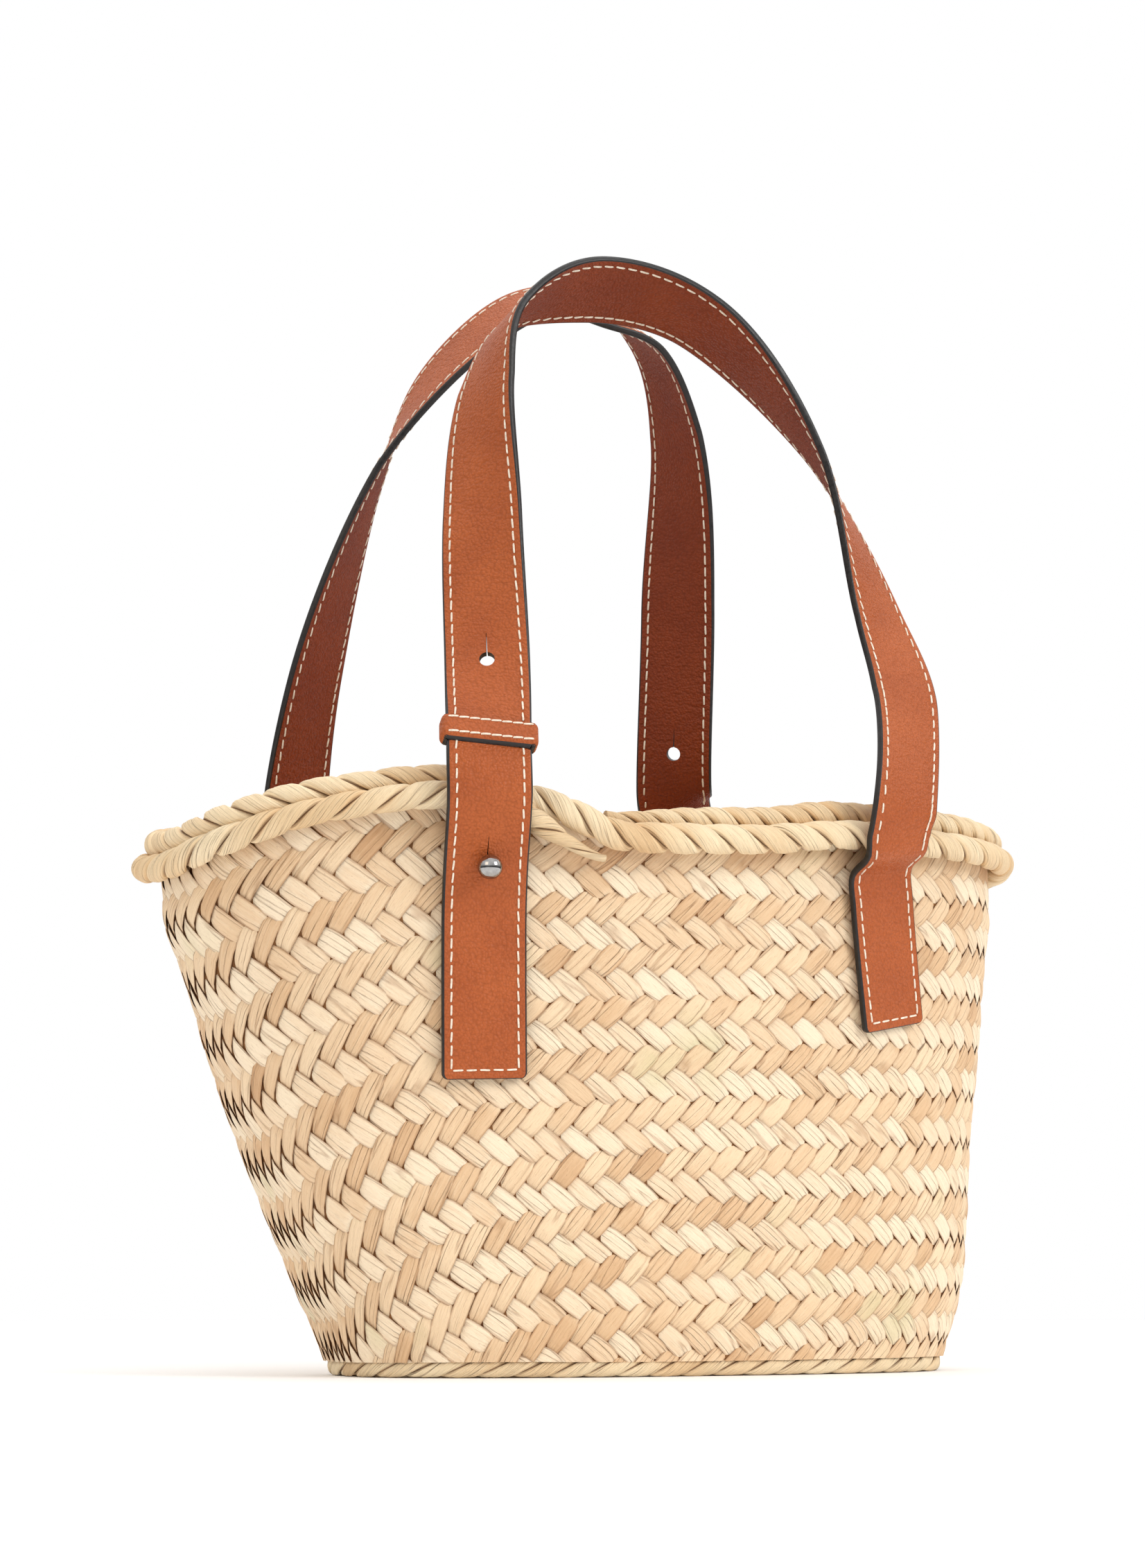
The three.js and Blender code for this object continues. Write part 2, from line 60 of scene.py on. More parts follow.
WALL_SECTIONS = {
    "up": [0.0, 0.06, 0.15, 0.3, 0.45, 0.6, 0.75, 0.9, 1.0],
    "length": [0.0, 0.08, 0.234, 0.408, 0.561, 0.725, 0.857, 1.0, 1.0],
    "depth": [0.0, 0.09, 0.21, 0.38, 0.53, 0.667, 0.79, 0.924, 1.0],
    "shift": [0.0, 0.0, 0.044, 0.277, 0.532, 0.698, 0.842, 0.99, 1.0],
    "squareness": [2.6, 2.6, 2.55, 2.5, 2.45, 2.4, 2.37, 2.33, 2.3],
}
MOUTH = {
    "angle": [-180, -160, -140, -120, -107, -98, -85, -70, -50, -25, 0, 30, 60, 90, 120, 150],
    "height": [0.904, 0.936, 0.979, 1.0, 0.957, 0.937, 0.944, 0.966, 0.967, 0.96, 0.95, 0.958,
               0.991, 0.946, 0.966, 0.932],
    "thick": [0.84, 0.84, 0.79, 0.82, 0.88, 0.9, 0.9, 0.9, 0.86, 0.82, 0.82, 0.83, 0.86, 0.87, 0.86,
              0.84],
    "drop": [0.79, 0.78, 0.66, 0.57, 0.62, 0.62, 0.62, 0.66, 0.72, 0.72, 0.76, 0.73, 0.64, 0.62,
             0.64, 0.74],
    "out": [0.235, 0.215, 0.09, 0.0, 0.05, 0.02, -0.04, -0.02, 0.09, 0.14, 0.21, 0.14, -0.01,
            -0.04, -0.01, 0.15],
}
FRONT_ARCH = {
    "across": [0.045, 0.069, 0.108, 0.194, 0.407, 0.658, 0.923, 1.052, 1.064],
    "up": [0.199, 0.496, 0.775, 0.936, 1.023, 0.993, 0.749, 0.406, 0.235],
    "lean": [0.33, 0.57, 0.77, 0.92, 1.0, 0.97, 0.82, 0.6, 0.33],
    "turn": [0.162, 0.334, 0.616, 0.876, 1.161, 0.993, 0.564, 0.115, -0.04],
}
BACK_ARCH = {
    "across": [0.065, 0.094, 0.131, 0.233, 0.396, 0.546, 0.75, 0.872, 0.998],
    "up": [0.084, 0.456, 0.845, 1.028, 1.104, 1.109, 0.964, 0.758, 0.313],
    "lean": [0.33, 0.57, 0.77, 0.92, 1.0, 0.97, 0.82, 0.6, 0.33],
    "turn": [0.231, 0.298, 0.623, 0.869, 1.135, 1.043, 0.871, 0.524, 0.155],
}

# How far the rows of the plait have climbed, by angle from the right end: at the foot and mouth
PLAIT_FLOW = {
    "angle": [-180, -150, -125, -105, -90, -60, -30, 0, 60, 120],
    "foot": [-46, -26, -4, 8, 12, 15, 16, 12, -4, -26],
    "mouth": [-14, -2, 9, 1, 2, 6, 8, 4, 2, -8],
}

# Turns of the plies for each millimetre of rope, by angle along the rope; the sign is the hand
ROPE_LAY = {
    "angle": [-100, 60, 170, 250, 330, 400, 460, 520, 619],
    "turns": [-1 / 23, -1 / 25, -1 / 29, -1 / 30, -1 / 33, -1 / 36, 1 / 60, 1 / 34, 1 / 32],
}


def read_table(table: dict, key: str, column: str, places: Array) -> Array:
    """Reads a column of a table smoothly and without overshoot.

    Args:
        table: The table's columns by name.
        key: The column that the places are along.
        column: The column that is read.
        places: Where to read it.

    Returns:
        The values at the places.
    """
    at, value = np.array(table[key], float), np.array(table[column], float)
    step = np.diff(at)
    slope = np.diff(value) / step
    product, total = slope[:-1] * slope[1:], slope[:-1] + slope[1:]
    inner = np.where(product <= 0, 0.0, 2 * product / np.where(np.abs(total) < 1e-12, 1, total))
    tangent = np.concatenate([slope[:1], inner, slope[-1:]])
    places = np.asarray(places, float)
    i = np.searchsorted(at[1:-1], places, side="left")
    t = np.clip((places - at[i]) / step[i], 0, 1)
    rise = value[i + 1] - value[i]
    a = tangent[i] * step[i] - rise
    b = rise - tangent[i + 1] * step[i]
    return value[i] + rise * t + t * (1 - t) * (a * (1 - t) + b * t)


def read_round(table: dict, column: str, angle: Array) -> Array:
    """Reads a column of a table that goes once round the bag, at any angle in degrees."""
    long = {name: np.concatenate([values, values, values]) for name, values in table.items()}
    count = len(table["angle"])
    long["angle"] = long["angle"] + np.repeat([-360.0, 0.0, 360.0], count)
    return read_table(long, "angle", column, np.mod(np.asarray(angle, float) + 180, 360) - 180)


def smooth(value: Array) -> Array:
    """Eases a share from 0 to 1."""
    value = np.clip(value, 0, 1)
    return value * value * (3 - 2 * value)


def unit(vectors: Array) -> Array:
    """Scales vectors to length 1."""
    return vectors / np.maximum(np.linalg.norm(vectors, axis=-1, keepdims=True), 1e-12)


# Modelling helpers


def deselect() -> None:
    """Leaves edit mode and selects nothing."""
    if bpy.context.object is not None and bpy.context.object.mode != "OBJECT":
        bpy.ops.object.mode_set(mode="OBJECT")
    bpy.ops.object.select_all(action="DESELECT")


def only(piece: bpy.types.Object) -> None:
    """Makes one piece the selected and active one."""
    deselect()
    piece.select_set(True)
    bpy.context.view_layer.objects.active = piece


def settle(piece: bpy.types.Object) -> None:
    """Puts a piece's place into its mesh, so that its object sits at the origin."""
    only(piece)
    bpy.ops.object.transform_apply(location=True, rotation=True, scale=True)


@contextmanager
def editing(piece: bpy.types.Object) -> Iterator[None]:
    """Edit mode on one piece, with all of it selected at the start."""
    only(piece)
    bpy.ops.object.mode_set(mode="EDIT")
    bpy.ops.mesh.select_all(action="SELECT")
    yield
    bpy.ops.object.mode_set(mode="OBJECT")


def modify(piece: bpy.types.Object, kind: str, **settings: object) -> None:
    """Adds a modifier with its settings and applies it."""
    only(piece)
    modifier = piece.modifiers.new(kind.title(), kind)
    for key, value in settings.items():
        setattr(modifier, key, value)
    bpy.ops.object.modifier_apply(modifier=modifier.name)


def repeat(piece: bpy.types.Object, count: int, step: tuple, **settings: object) -> None:
    """Copies a piece in a row, a step apart."""
    modify(piece, "ARRAY", count=count, use_relative_offset=False, use_constant_offset=True,
           constant_offset_displace=step, **settings)


def smooth_shade(piece: bpy.types.Object, degrees: float) -> None:
    """Shades smooth over edges that turn by less than an angle."""
    only(piece)
    bpy.ops.object.shade_smooth_by_angle(angle=math.radians(degrees))


def points_of(piece: bpy.types.Object) -> Array:
    """The piece's vertices as rows of x, y, z."""
    flat = np.empty(len(piece.data.vertices) * 3)
    piece.data.vertices.foreach_get("co", flat)
    return flat.reshape(-1, 3)


def place_points(piece: bpy.types.Object, points: Array) -> None:
    """Moves the piece's vertices."""
    piece.data.vertices.foreach_set("co", np.ascontiguousarray(points, float).ravel())
    piece.data.update()


def tube_blank(
    name: str, sides: int, stations: int, copies: int = 1, closed: bool = True
) -> bpy.types.Object:
    """A straight tube along Z, one unit between stations, with its copies in a row on X.

    Args:
        name: Name of the piece.
        sides: Points round each station.
        stations: Stations along the tube.
        copies: How many tubes stand side by side.
        closed: Whether its ends are filled.

    Returns:
        The piece, whose vertices say by their place which station and side they are.
    """
    deselect()
    bpy.ops.mesh.primitive_cylinder_add(
        vertices=sides, radius=1, depth=1, end_fill_type="NOTHING", location=(0, 0, 0.5)
    )
    piece = bpy.context.object
    piece.name = name
    settle(piece)
    repeat(piece, stations - 1, (0, 0, 1), use_merge_vertices=True, merge_threshold=0.01)
    if closed:
        with editing(piece):
            bpy.ops.mesh.fill_holes(sides=sides)
            bpy.ops.mesh.normals_make_consistent(inside=False)
    if copies > 1:
        repeat(piece, copies, (BLANK_STEP, 0, 0))
    return piece


def blank_places(piece: bpy.types.Object, sides: int) -> tuple[Array, Array, Array]:
    """Copy, station and side of each vertex of a tube blank."""
    points = points_of(piece)
    copy = np.round(points[:, 0] / BLANK_STEP).astype(int)
    turn = np.arctan2(points[:, 0] - BLANK_STEP * copy, points[:, 1])
    side = np.mod(np.round(turn / (2 * math.pi / sides)).astype(int), sides)
    return copy, np.round(points[:, 2]).astype(int), side


def point_values(piece: bpy.types.Object, name: str, values: Array) -> None:
    """Stores one number a vertex as a named attribute."""
    attribute = piece.data.attributes.new(name, "FLOAT", "POINT")
    attribute.data.foreach_set("value", np.ascontiguousarray(values, np.float32))


def surface_map(piece: bpy.types.Object, along: Array, across: Array) -> None:
    """Writes a UV map from one pair of numbers a vertex."""
    layer = piece.data.uv_layers.new(name="strand")
    corner = np.empty(len(piece.data.loops), int)
    piece.data.loops.foreach_get("vertex_index", corner)
    pairs = np.stack([along[corner], across[corner]], axis=1)
    layer.data.foreach_set("uv", pairs.astype(np.float32).ravel())


def outward(piece: bpy.types.Object) -> None:
    """Turns a mesh's faces outwards."""
    with editing(piece):
        bpy.ops.mesh.normals_make_consistent(inside=False)


def run_along(points: Array) -> Array:
    """Length along a line up to each of its points."""
    return np.concatenate([[0], np.cumsum(np.linalg.norm(np.diff(points, axis=0), axis=1))])


def slow_noise(rng: np.random.Generator, run: Array, knots: Array, low: float, high: float) -> Array:
    """Random values drawn at knots and read along a run between them."""
    return np.interp(run, knots, rng.uniform(low, high, len(knots)))


# Finishes


@dataclass(frozen=True)
class Graph:
    """A material's node tree, with short ways to add and link nodes."""

    material: bpy.types.Material

    @classmethod
    def start(cls, name: str) -> "Graph":
        """A new material with its shader and output alone."""
        material = bpy.data.materials.new(name)
        material.use_nodes = True
        return cls(material)

    @property
    def shader(self) -> bpy.types.Node:
        """The material's shader."""
        return self.material.node_tree.nodes["Principled BSDF"]

    def node(self, kind: str, links: dict | None = None, **settings: object) -> bpy.types.Node:
        """Adds a node.

        Args:
            kind: Its type, without the ShaderNode prefix.
            links: Output sockets or plain values, by input name or number.
            **settings: Values of the node's own properties.

        Returns:
            The node.
        """
        node = self.material.node_tree.nodes.new("ShaderNode" + kind)
        for key, value in settings.items():
            setattr(node, key, value)
        for key, value in (links or {}).items():
            if isinstance(value, bpy.types.NodeSocket):
                self.material.node_tree.links.new(value, node.inputs[key])
            else:
                node.inputs[key].default_value = value
        return node

    def link(self, output: bpy.types.NodeSocket, socket: str) -> None:
        """Links an output to one of the shader's sockets."""
        self.material.node_tree.links.new(output, self.shader.inputs[socket])

    def number(self, operation: str, *values: object) -> bpy.types.NodeSocket:
        """A Math node's result."""
        return self.node("Math", dict(enumerate(values)), operation=operation).outputs[0]

    def noise(self, scale: float, detail: float = 2.0, vector: bpy.types.NodeSocket | None = None,
              **links: object) -> bpy.types.NodeSocket:
        """A noise over the piece's own coordinates, or over a vector."""
        if vector is None:
            vector = self.node("TexCoord").outputs["Object"]
        links |= {"Vector": vector, "Scale": scale, "Detail": detail}
        return self.node("TexNoise", links).outputs[0]

    def stretch(
        self, vector: bpy.types.NodeSocket, scale: tuple, turn: tuple = (0, 0, 0)
    ) -> bpy.types.NodeSocket:
        """Coordinates scaled on each axis, after a turn in radians."""
        return self.node("Mapping", {"Vector": vector, "Scale": scale, "Rotation": turn}).outputs[0]

    def ramp(self, value: bpy.types.NodeSocket, stops: list[tuple]) -> bpy.types.NodeSocket:
        """Colours or greys from a number, by stops of place and colour."""
        node = self.node("ValToRGB", {0: value})
        ramp = node.color_ramp
        while len(ramp.elements) < len(stops):
            ramp.elements.new(0.5)
        for element, (place, colour) in zip(ramp.elements, stops):
            element.position = place
            grey = not isinstance(colour, tuple)
            element.color = (colour,) * 3 + (1,) if grey else linear(colour)
        return node.outputs[0]

    def mix(self, share: object, first: object, second: object) -> bpy.types.NodeSocket:
        """Mixes two colours by a share."""
        node = self.node("Mix", {0: share}, data_type="RGBA")
        for index, value in ((6, first), (7, second)):
            if isinstance(value, bpy.types.NodeSocket):
                self.material.node_tree.links.new(value, node.inputs[index])
            else:
                node.inputs[index].default_value = linear(value)
        return node.outputs[2]

    def bump(self, height: bpy.types.NodeSocket, distance: float, strength: float = 1.0,
             under: bpy.types.NodeSocket | None = None) -> bpy.types.NodeSocket:
        """A bump's normal, over another one where given."""
        links = {"Height": height, "Distance": distance, "Strength": strength}
        if under is not None:
            links["Normal"] = under
        return self.node("Bump", links).outputs[0]


def linear(colour: tuple) -> tuple:
    """A scene colour from red, green and blue of 0 to 255 as a screen shows them."""
    shares = [c / 255 for c in colour[:3]]
    return tuple(c / 12.92 if c <= 0.04045 else ((c + 0.055) / 1.055) ** 2.4 for c in shares) + (1.0,)


@dataclass(frozen=True)
class Straw:
    """Dried palm leaf: long fibres, dark specks, a tone that changes from strand to strand, and rims darkened
    with painted shade.
    """

    name: str
    dark: tuple
    middle: tuple
    light: tuple
    green: tuple
    edge: tuple = (150, 96, 52)
    edge_shade_share: float = 0.6
    edge_shade_from: float = 0.8
    fibre_scale: float = 9.0
    roughness: float = 0.62

    def make(self) -> bpy.types.Material:
        """The straw as a material that reads the piece's strand map and its tone and rim values, and darkens
        the rims with a brown edge and painted shade.
        """
        g = Graph.start(self.name)
        strand = g.node("UVMap", uv_map="strand").outputs[0]
        tone = g.node("Attribute", attribute_name="tone").outputs["Fac"]
        rim = g.node("Attribute", attribute_name="rim").outputs["Fac"]
        patch = g.noise(16.0)
        fibres = g.stretch(strand, (0.6, self.fibre_scale, 1.0))
        fine = g.noise(3.0, 5.0, fibres, Roughness=0.65)
        broad = g.noise(0.9, 2.0, fibres)
        speck = g.noise(3.4, 1.0, g.stretch(strand, (2.2, 7.0, 1.0)))
        mixed = g.number("MULTIPLY_ADD", broad, 0.35, tone)
        shade = g.number("MULTIPLY_ADD", g.number("SUBTRACT", patch, 0.5), 0.5, mixed)
        colour = g.ramp(shade, [(0.12, self.dark), (0.5, self.middle), (0.86, self.light)])
        greenish = g.ramp(g.number("MULTIPLY_ADD", tone, 0.35, patch), [(0.84, 0.0), (0.98, 1.0)])
        colour = g.mix(g.number("MULTIPLY", greenish, 0.6), colour, self.green)
        lines = g.ramp(fine, [(0.3, 1.0), (0.46, 0.0)])
        colour = g.mix(g.number("MULTIPLY", lines, 0.32), colour, self.edge)
        specks = g.ramp(speck, [(0.7, 0.0), (0.76, 1.0)])
        colour = g.mix(g.number("MULTIPLY", specks, 0.4), colour, (168, 112, 66))
        fold = g.noise(1.0, 0.0, g.stretch(strand, (0.12, 2.4, 1.0)))
        fold = g.ramp(fold, [(0.478, 0.0), (0.5, 1.0), (0.522, 0.0)])
        colour = g.mix(g.number("MULTIPLY", fold, 0.34), colour, self.edge)
        # Painted shade along the rims: at the plait's strand edges it is partly a browner edge, in the rope's
        # creases it is all shade.
        brown_edge_and_shade = g.ramp(rim, [(self.edge_shade_from, 0.0), (1.0, 1.0)])
        colour = g.mix(g.number("MULTIPLY", brown_edge_and_shade, self.edge_shade_share), colour, self.edge)
        g.link(colour, "Base Color")
        g.link(g.ramp(fine, [(0.2, self.roughness + 0.14), (0.8, self.roughness - 0.1)]), "Roughness")
        rough = g.bump(fine, 0.0004, 0.6)
        creased = g.bump(g.number("SUBTRACT", 1.0, fold), 0.0006, 0.6, rough)
        g.link(g.bump(broad, 0.0012, 0.6, creased), "Normal")
        g.shader.inputs["Specular IOR Level"].default_value = 0.4
        return g.material


@dataclass(frozen=True)
class Plain:
    """A finish of one noise between two tones, such as paint, thread or steel."""

    name: str
    dark: tuple
    light: tuple
    scale: float
    detail: float = 3.0
    spread: tuple = (0.3, 0.7)
    roughness: tuple = (0.5,)
    bump: tuple = ()
    metallic: float = 0.0

    def make(self) -> bpy.types.Material:
        """The finish as a material; two values of roughness follow the noise, and one is even."""
        g = Graph.start(self.name)
        noise = g.noise(self.scale, self.detail)
        g.link(g.ramp(noise, list(zip(self.spread, (self.dark, self.light)))), "Base Color")
        if len(self.roughness) > 1:
            g.link(g.ramp(noise, list(zip(self.spread, self.roughness))), "Roughness")
        else:
            g.shader.inputs["Roughness"].default_value = self.roughness[0]
        if self.bump:
            g.link(g.bump(noise, *self.bump), "Normal")
        g.shader.inputs["Metallic"].default_value = self.metallic
        return g.material


# The gap finish is painted shade: a dim brown for the shade seen through the gaps of the plait.
PAINTED_GAP_SHADE = Plain("plait_gap_painted_shade", (92, 56, 28), (150, 102, 58), 220.0, roughness=(0.9,), bump=(0.0006,))
EDGE_PAINT = Plain("edge_paint", (14, 12, 12), (34, 29, 28), 500.0, roughness=(0.36, 0.5), bump=(0.0003, 0.5))
THREAD = Plain("waxed_thread", (222, 204, 180), (250, 240, 224), 900.0, 4.0, roughness=(0.55,),
               bump=(0.0002, 0.7))
STEEL = Plain("stud_steel", (150, 148, 147), (180, 178, 176), 700.0, 4.0, roughness=(0.07, 0.14),
              metallic=1.0)
FLOOR = Plain("studio_floor", (250, 250, 250), (253, 253, 253), 3.0, 2.0, (0.2, 0.8), roughness=(0.9,))


@dataclass(frozen=True)
class Leather:
    """Smooth tanned leather with a fine pebbled grain."""

    name: str
    dark: tuple
    light: tuple
    roughness: float = 0.46

    def make(self) -> bpy.types.Material:
        """The leather as a material."""
        g = Graph.start(self.name)
        place = g.node("TexCoord").outputs["Object"]
        warp = g.node("TexNoise", {"Vector": place, "Scale": 260.0, "Detail": 2.0}).outputs["Color"]
        moved = g.node("VectorMath", {0: warp, 1: (0.0016,) * 3, 2: place}, operation="MULTIPLY_ADD")
        cells = g.node("TexVoronoi", {"Vector": moved.outputs[0], "Scale": 900.0}, feature="F1").outputs[0]
        cloud = g.noise(42.0, 5.0)
        fine = g.noise(1500.0, 3.0)
        colour = g.ramp(cloud, [(0.32, self.dark), (0.7, self.light)])
        pores = g.ramp(cells, [(0.35, 0.0), (0.75, 1.0)])
        colour = g.mix(g.number("MULTIPLY", pores, 0.28), colour, tuple(0.72 * c for c in self.dark))
        g.link(colour, "Base Color")
        g.link(g.ramp(cells, [(0.1, self.roughness - 0.06), (0.8, self.roughness + 0.14)]), "Roughness")
        wrinkles = g.noise(1.0, 3.0, g.stretch(place, (170.0, 170.0, 620.0), (0, 0.7, 0)))
        low = g.bump(cloud, 0.0012, 0.3)
        folded = g.bump(wrinkles, 0.0011, 0.55, low)
        grain = g.bump(g.number("SUBTRACT", 1.0, cells), 0.0007, 0.6, folded)
        g.link(g.bump(fine, 0.0001, 0.4, grain), "Normal")
        g.shader.inputs["Specular IOR Level"].default_value = 0.36
        return g.material


@dataclass(frozen=True)
class Finishes:
    """The handles' materials, made once for both."""

    leather: bpy.types.Material
    inner: bpy.types.Material
    paint: bpy.types.Material
    thread: bpy.types.Material
    steel: bpy.types.Material

    @classmethod
    def make(cls) -> "Finishes":
        """Makes every one of them."""
        leather = Leather("strap_leather", (170, 81, 31), (184, 92, 39)).make()
        inner = Leather("inner_leather", (126, 46, 5), (140, 56, 9)).make()
        return cls(leather, inner, EDGE_PAINT.make(), THREAD.make(), STEEL.make())


# The basket's shape


@dataclass
class Wall:
    """The basket's wall as a surface: a plan that grows and loses squareness from foot to mouth."""

    base_length: float = 264
    base_depth: float = 124
    rim_length: float = 362
    rim_depth: float = 190
    rim_shift_x: float = -18.5
    rim_shift_y: float = 12
    height: float = 223.5
    thickness: float = 3
    levels: int = 24
    steps: int = 1440
    tables: list = field(default_factory=list)

    def top(self, angle: Array) -> Array:
        """Height of the wall's edge at an angle."""
        return self.height * read_round(MOUTH, "height", angle)

    def half_length(self, up: Array | float) -> Array:
        """Half the plan's length at shares of the height."""
        grown = read_table(WALL_SECTIONS, "up", "length", up)
        return (self.base_length + (self.rim_length - self.base_length) * grown) / 2

    def plan_point(self, up: Array, angle: Array, out: Array | float) -> tuple[Array, Array]:
        """Points of the plan at a share of the height, and the plan's outward directions there.

        Args:
            up: Shares of the height.
            angle: Angles from the right end, in degrees.
            out: How far outside the wall's outer face.

        Returns:
            Points and directions with z = 0.
        """
        up, angle = np.broadcast_arrays(np.asarray(up, float), np.asarray(angle, float))
        read = lambda column: read_table(WALL_SECTIONS, "up", column, up)
        half_length = self.half_length(up)
        half_depth = (self.base_depth + (self.rim_depth - self.base_depth) * read("depth")) / 2
        power = read("squareness")
        c, s = np.cos(np.radians(angle)), np.sin(np.radians(angle))
        x = np.sign(c) * np.abs(c) ** (2 / power)
        y = np.sign(s) * np.abs(s) ** (2 / power)
        nx = np.sign(c) * np.abs(x) ** (power - 1) / half_length
        ny = np.sign(s) * np.abs(y) ** (power - 1) / half_depth
        normal = unit(np.stack([nx, ny, np.zeros_like(nx)], axis=-1))
        px = self.rim_shift_x * read("shift") + half_length * x
        py = self.rim_shift_y * up + half_depth * y
        point = np.stack([px, py, np.zeros_like(px)], axis=-1)
        return point + normal * np.asarray(out)[..., None], normal

    def angle_at_x(self, up: float, x: float, side: int) -> float:
        """Angle of the point on the front or back of a plan at a given X."""
        read = lambda column: float(read_table(WALL_SECTIONS, "up", column, up))
        half = float(self.half_length(up))
        share = min(max((x - self.rim_shift_x * read("shift")) / half, -0.999), 0.999)
        c = math.copysign(abs(share) ** (read("squareness") / 2), share)
        return side * math.degrees(math.acos(c))

    def point(self, up: Array, angle: Array, out: Array | float) -> Array:
        """Points outside the wall at shares of its height and angles."""
        point, _ = self.plan_point(up, angle, out)
        point[..., 2] = up * self.top(angle)
        return point

    def angle_of_share(self, share: Array, up: Array) -> Array:
        """Angles of shares of the way round, counted from the left end over the front.

        Args:
            share: Shares of the length round, whose whole part is dropped.
            up: Shares of the height.

        Returns:
            Angles from the right end, in degrees.
        """
        if not self.tables:
            grid = np.linspace(-180, 180, self.steps + 1)
            for level in np.linspace(0, 1, self.levels + 1):
                points, _ = self.plan_point(np.full_like(grid, level), grid, 0)
                run = run_along(points)
                self.tables.append(np.interp(np.linspace(0, 1, self.steps + 1), run / run[-1], grid))
        table = np.array(self.tables)
        up = np.clip(up, 0, 1)
        half = np.mod(share, 0.5) * 4 - 1
        widen = 1 + 0.25 * (1 - up)
        half = widen * half + (1 - widen) * half**3
        share = np.floor(np.mod(share, 1) * 2) / 2 + (half + 1) / 4
        row, column = up * self.levels, np.clip(share, 0, 1) * self.steps
        i = np.minimum(row.astype(int), self.levels - 1)
        j = np.minimum(column.astype(int), self.steps - 1)
        u, v = row - i, column - j
        low = table[i, j] * (1 - v) + table[i, j + 1] * v
        high = table[i + 1, j] * (1 - v) + table[i + 1, j + 1] * v
        return low * (1 - u) + high * u


